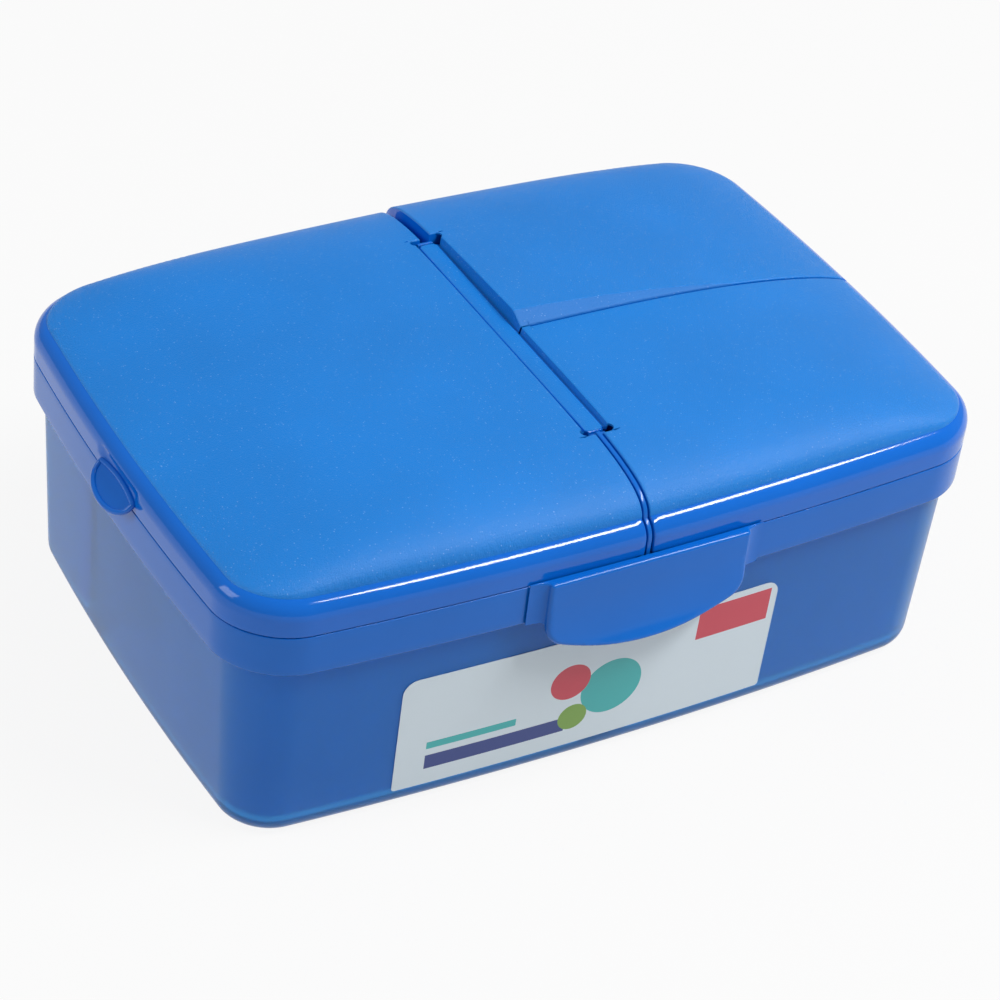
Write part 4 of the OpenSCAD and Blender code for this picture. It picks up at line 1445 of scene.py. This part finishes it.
@dataclass(frozen=True)
class Clip:
    """The flared front clip, with its ledge and its sagging lip."""

    form: BoxForm
    top_z: float
    low_z: float
    width: float = 55.0
    gap: float = 0.35
    thick: float = 2.0
    flare: float = 2.6
    lip: float = 1.05
    corner_r: float = 6.0
    sag: float = 3.2
    edge_r: float = 1.1
    wing: float = 4.5
    wing_h: float = 11.9
    root_lap: float = 1.2
    root_corner: float = 1.0
    root_edge: float = 0.8
    root_proud: float = 0.12
    root_toe: float = 0.25

    @classmethod
    def from_frame(cls, form: BoxForm) -> "Clip":
        """Read the clip's height from its node."""
        low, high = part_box("front_clip")
        return cls(form=form, top_z=high.z / MM, low_z=low.z / MM)

    @property
    def back_y(self) -> float:
        """y of the clip's back."""
        return -self.form.half_w - self.gap

    def wall_y(self, x: Array) -> Array:
        """y of the band's bowed face, less the clip's gap."""
        form = self.form
        return -form.half_w + form.long_bow * (x / form.half_l) ** 2 - self.gap

    def outline(self) -> Array:
        """Front view of the clip as (x, z), anticlockwise."""
        half = self.width / 2
        low = self.low_z + self.sag
        r = self.corner_r
        turn = np.linspace(0.0, math.radians(66), 12)
        right = columns(half - r * (1 - np.cos(turn)), low + r * (1 - np.sin(turn)))
        left = right[::-1] * [-1, 1]
        x_end = right[-1, 0]
        xs = np.linspace(x_end, -x_end, 60)[1:-1]
        depth = right[-1, 1] - self.low_z
        belly = columns(xs, self.low_z + depth * np.abs(xs / x_end) ** 2.2)
        crest = self.top_z - self.root_lap
        top = resample(np.array([[-half, crest], [half, crest]]), 1.5)
        sides = resample(np.array([[half, crest], [half, low + r]]), 1.2)[1:-1]
        return np.concatenate([sides, right, belly, left, sides[::-1] * [-1, 1], top])[::-1]

    def reach(self, z: Array) -> Array:
        """How far the clip has flared out at height z."""
        u = np.clip((self.top_z - z) / (self.top_z - self.low_z), 0, 1)
        curl = np.maximum(0, (u - 0.8) / 0.2)
        return self.flare * u**2.6 + self.lip * curl**2

    def wings(self, draft: Draft) -> None:
        """Add the clip's root, which sweeps out to the band in a hollow fillet at each end."""
        half, front = self.width / 2, self.back_y - self.thick - self.root_proud
        corner, r = self.root_corner, self.root_edge
        turn = np.linspace(0, QUARTER_TURN, 14)
        xs = half + self.wing * (1 - np.cos(turn))
        share = np.sin(turn)
        ys = (front + corner) * (1 - share) + (self.wall_y(xs) - self.root_toe) * share
        bend = np.linspace(0, QUARTER_TURN, 8)[:-1]
        bent = [half - corner * (1 - np.sin(bend)), front + corner * (1 - np.cos(bend))]
        right = np.concatenate([columns(*bent), columns(xs, ys)])
        run = half - corner - 0.5
        middle = resample(np.array([[-run, front], [run, front]]), 4.0)
        bow = np.linspace(xs[-1], -xs[-1], 30)
        back = columns(bow, self.wall_y(bow))
        loop = np.concatenate([right[::-1] * [-1, 1], middle, right, back])
        fade = np.concatenate([np.ones(len(bend)), 1 - share**2])
        keep = np.concatenate([fade[::-1], np.ones(len(middle)), fade, np.zeros(len(back))])
        inward = normals(loop, closed=True) * keep[:, None]
        levels = [(0.0, self.top_z - self.wing_h)] + [(c, self.top_z - s) for c, s in fillet(r, 6)]
        rings = [lift(loop - inward * d, z) for d, z in levels]
        draft.strips(rings, closed=True)
        draft.cap([rings[0]])
        draft.cap([rings[-1]])

    def build(self) -> Thing:
        """Build the clip and put it on its body."""
        loop = self.outline()
        closed = np.concatenate([loop, loop[:1]])
        half = self.width / 2
        cloud = [lattice(np.arange(-half, half, 1.0), np.arange(self.low_z, self.top_z, 0.8))]
        for share in (*EDGE_STEPS, 1.6):
            cloud += [offset(closed, self.edge_r * share), offset(closed, -self.edge_r * share)]
        every, faces = fill(loop, np.concatenate(cloud), 0.035)
        sink = rounded(distance(every, closed), self.edge_r)
        back = self.back_y - self.reach(every[:, 1])
        draft = Draft()
        self.wings(draft)
        depths = (back - self.thick + sink, back - sink * 0.4)
        sheets = [columns(every[:, 0], y, every[:, 1]) for y in depths]
        draft.slab(sheets, faces, len(loop))
        piece = draft.make("front_clip_shell", [Coat.FRAME])
        return place(piece, Body.CLIP, "frame_plastic", "front_clip")


# ---------------------------------------------------------------- label


@dataclass(frozen=True)
class Label:
    """The sticker on the tub's front, wrapped on its wall."""

    form: BoxForm
    tub: Tub
    low: tuple[float, float]
    high: tuple[float, float]
    top_r: float = 4.0
    foot_r: float = 0.9
    thick: float = 0.12
    gap: float = 0.06

    @classmethod
    def from_frame(cls, form: BoxForm, tub: Tub) -> "Label":
        """Read the label's place from its node."""
        low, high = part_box("label")
        return cls(form, tub, (low.x / MM, low.z / MM), (high.x / MM, high.z / MM))

    @property
    def middle(self) -> tuple[float, float]:
        """Middle of the label as (x, z)."""
        return ((self.low[0] + self.high[0]) / 2, (self.low[1] + self.high[1]) / 2)

    @property
    def size(self) -> tuple[float, float]:
        """Length and height of the label."""
        return (self.high[0] - self.low[0], self.high[1] - self.low[1])

    def wall_y(self, points: Array) -> Array:
        """y of the tub's front wall behind points (x, z)."""
        form = self.form
        flat = self.tub.wall_in(points[:, 1]) - form.half_w
        return flat * (1 - form.long_bow / form.half_w * (points[:, 0] / form.half_l) ** 2)

    def build(self) -> Thing:
        """Build the label and put it on the tub."""
        (x0, z0), (x1, z1) = self.low, self.high
        r, f = self.top_r, self.foot_r
        corners = [(x1 - r, z1 - r, r), (x0 + r, z1 - r, r), (x0 + f, z0 + f, f), (x1 - f, z0 + f, f)]
        loop = []
        for k, (cx, cz, r) in enumerate(corners):
            turn = QUARTER_TURN * k + np.linspace(0, QUARTER_TURN, 10)
            loop.append(arc((cx, cz), r, turn))
        outline = resample(np.concatenate([*loop, loop[0][:1]]), 3.0)[:-1]
        every, faces = fill(outline, lattice(np.arange(x0, x1, 3.0), np.arange(z0, z1, 3.0)), 0.5)
        back = self.wall_y(every) - self.gap
        depths = (back - self.thick, back)
        sheets = [columns(every[:, 0], y, every[:, 1]) for y in depths]
        draft = Draft()
        draft.slab(sheets, faces, len(outline))
        piece = draft.make("front_label", [Coat.LABEL])
        return place(piece, Body.TUB, "label_paper", "label")


# ---------------------------------------------------------------- studio


@dataclass(frozen=True)
class Studio:
    """A pale floor, a white surround, soft lamps and the camera."""

    azimuth: float = math.radians(-32.19)
    elevation: float = math.radians(37.15)
    roll: float = math.radians(6.47)
    distance: float = 786.8
    aim: tuple[float, float, float] = (-7.22, 4.53, 31.74)
    lens: float = 110.57
    shift: tuple[float, float] = (0.04455, -0.01069)
    floor_half: float = 20.0  # metres
    world_strength: float = 0.36

    def camera(self) -> Thing:
        """Put up the camera."""
        data = bpy.data.cameras.new("camera")
        data.sensor_width = 36.0
        data.lens = self.lens
        data.shift_x, data.shift_y = self.shift
        data.clip_start, data.clip_end = 0.01, 20.0
        camera = link("camera", data)
        level = math.cos(self.elevation)
        out_x, out_y = math.sin(self.azimuth) * level, -math.cos(self.azimuth) * level
        away = Vector((out_x, out_y, math.sin(self.elevation)))
        camera.location = Vector(self.aim) * MM + away * self.distance * MM
        turn = (-away).to_track_quat("-Z", "Y").to_matrix().to_4x4()
        spin = Vector((0, 0, 1))
        camera.rotation_euler = (turn @ Matrix.Rotation(self.roll, 4, spin)).to_euler()
        bpy.context.scene.camera = camera
        return camera

    def lamp(
        self,
        name: str,
        place_at: tuple[float, float, float],
        aim: tuple[float, float, float],
        size: tuple[float, float],
        power: float,
    ) -> Thing:
        """Hang a softbox, given its place, aim and size in metres and its power in watts."""
        data = bpy.data.lights.new(name, "AREA")
        data.shape = "RECTANGLE"
        data.size, data.size_y = size
        data.energy = power
        lamp = link(name, data)
        lamp.location = place_at
        lamp.rotation_euler = (Vector(aim) - Vector(place_at)).to_track_quat("-Z", "Y").to_euler()
        return lamp

    def sweep(self) -> bpy.types.Material:
        """Matt white paper that the camera sees nearly white, with the box's shadow left on it."""
        plain = {"Base Color": linear("#CFCFCF"), "Roughness": 0.9}
        material, tree, shader = new_material("matt white sweep", plain)
        white = {"Color": linear("#FFFFFF"), "Strength": 1.0}
        glow = add_node(tree, "ShaderNodeEmission", inputs=white).outputs[0]
        ray = add_node(tree, "ShaderNodeLightPath").outputs
        seen = ray["Is Camera Ray"]
        for kind in ("Is Glossy Ray", "Is Transmission Ray"):
            seen = arithmetic(tree, "MAXIMUM", seen, ray[kind])
        both = {0: arithmetic(tree, "MULTIPLY", seen, 0.9), 1: shader.outputs[0], 2: glow}
        mix = add_node(tree, "ShaderNodeMixShader", inputs=both).outputs[0]
        tree.links.new(mix, tree.nodes["Material Output"].inputs["Surface"])
        return material

    def floor(self) -> Thing:
        """Lay the floor, white to the camera but still shaded by the box."""
        mesh = bpy.data.meshes.new("floor")
        half, z = self.floor_half, -0.05 * MM
        corners = [(-half, -half, z), (half, -half, z), (half, half, z), (-half, half, z)]
        mesh.from_pydata(corners, [], [(0, 1, 2, 3)])
        mesh.materials.append(self.sweep())
        floor = link("floor", mesh)
        return floor

    def surround(self) -> None:
        """Light the scene evenly from a white world."""
        world = bpy.data.worlds.new("white surround")
        world.use_nodes = True
        background = world.node_tree.nodes["Background"].inputs
        background["Color"].default_value = linear("#FFFFFF")
        background["Strength"].default_value = self.world_strength
        bpy.context.scene.world = world

    def build(self) -> None:
        """Put up the whole studio."""
        bpy.context.scene.view_settings.view_transform = "Standard"
        self.surround()
        self.floor()
        self.lamp("key_strip", (0.55, -0.44, 1.09), (0, 0, 0.06), (0.75, 0.15), 12.5)
        self.lamp("left_softbox", (-1.2, 0.3, 0.7), (0, 0, 0.04), (0.6, 0.6), 4.5)
        self.camera()


# ---------------------------------------------------------------- the whole box


def main() -> None:
    """Build every piece in order and set up the studio."""
    logging.basicConfig(level=logging.INFO, format="%(name)s %(message)s")
    form = BoxForm.from_frame()
    tub = Tub(form)
    label = Label.from_frame(form, tub)
    Finishes.prepare(label)

    ledge, spine_half, cross_half = 7.2, 4.5, 3.5
    wx, wy = form.half_l - ledge, form.half_w - ledge
    windows = [
        ([-wx, -wy], [-spine_half, wy]),
        ([spine_half, cross_half], [wx, wy]),
        ([spine_half, -wy], [wx, -cross_half]),
    ]
    near, side_gap, end_gap = 6.15, 0.5, 0.9
    long_skirt = ([near, -wy + side_gap], [wx - end_gap, wy - side_gap])
    short_skirt = ([near, cross_half + side_gap], [wx - end_gap, wy - side_gap])
    mid = form.half_w / 2
    lids = [
        Lid(form, "left_lid", Body.LEFT_LID, -1, 1, True, 1.05, 0.0, -3.0, long_skirt),
        Lid(form, "back_right_lid", Body.BACK_RIGHT_LID, 1, 1, False, 1.6, 2.5, mid, short_skirt),
        Lid(form, "front_right_lid", Body.FRONT_RIGHT_LID, 1, -1, False, 1.05, 0.0, mid, short_skirt),
    ]
    tub.build()
    label.build()
    RimFrame(form, windows).build()
    spine = Spine(form)
    spine.strip()
    web_end, seam_half = 44.72, 0.36
    for lid, y0, lip in zip(lids, (0.0, seam_half, seam_half), (0.2, 0.3, 0.3)):
        spine.web(lid, y0, web_end, lip)
    for lid in lids:
        lid.build()
    Clip.from_frame(form).build()
    Studio().build()


if __name__ == "__main__":
    main()
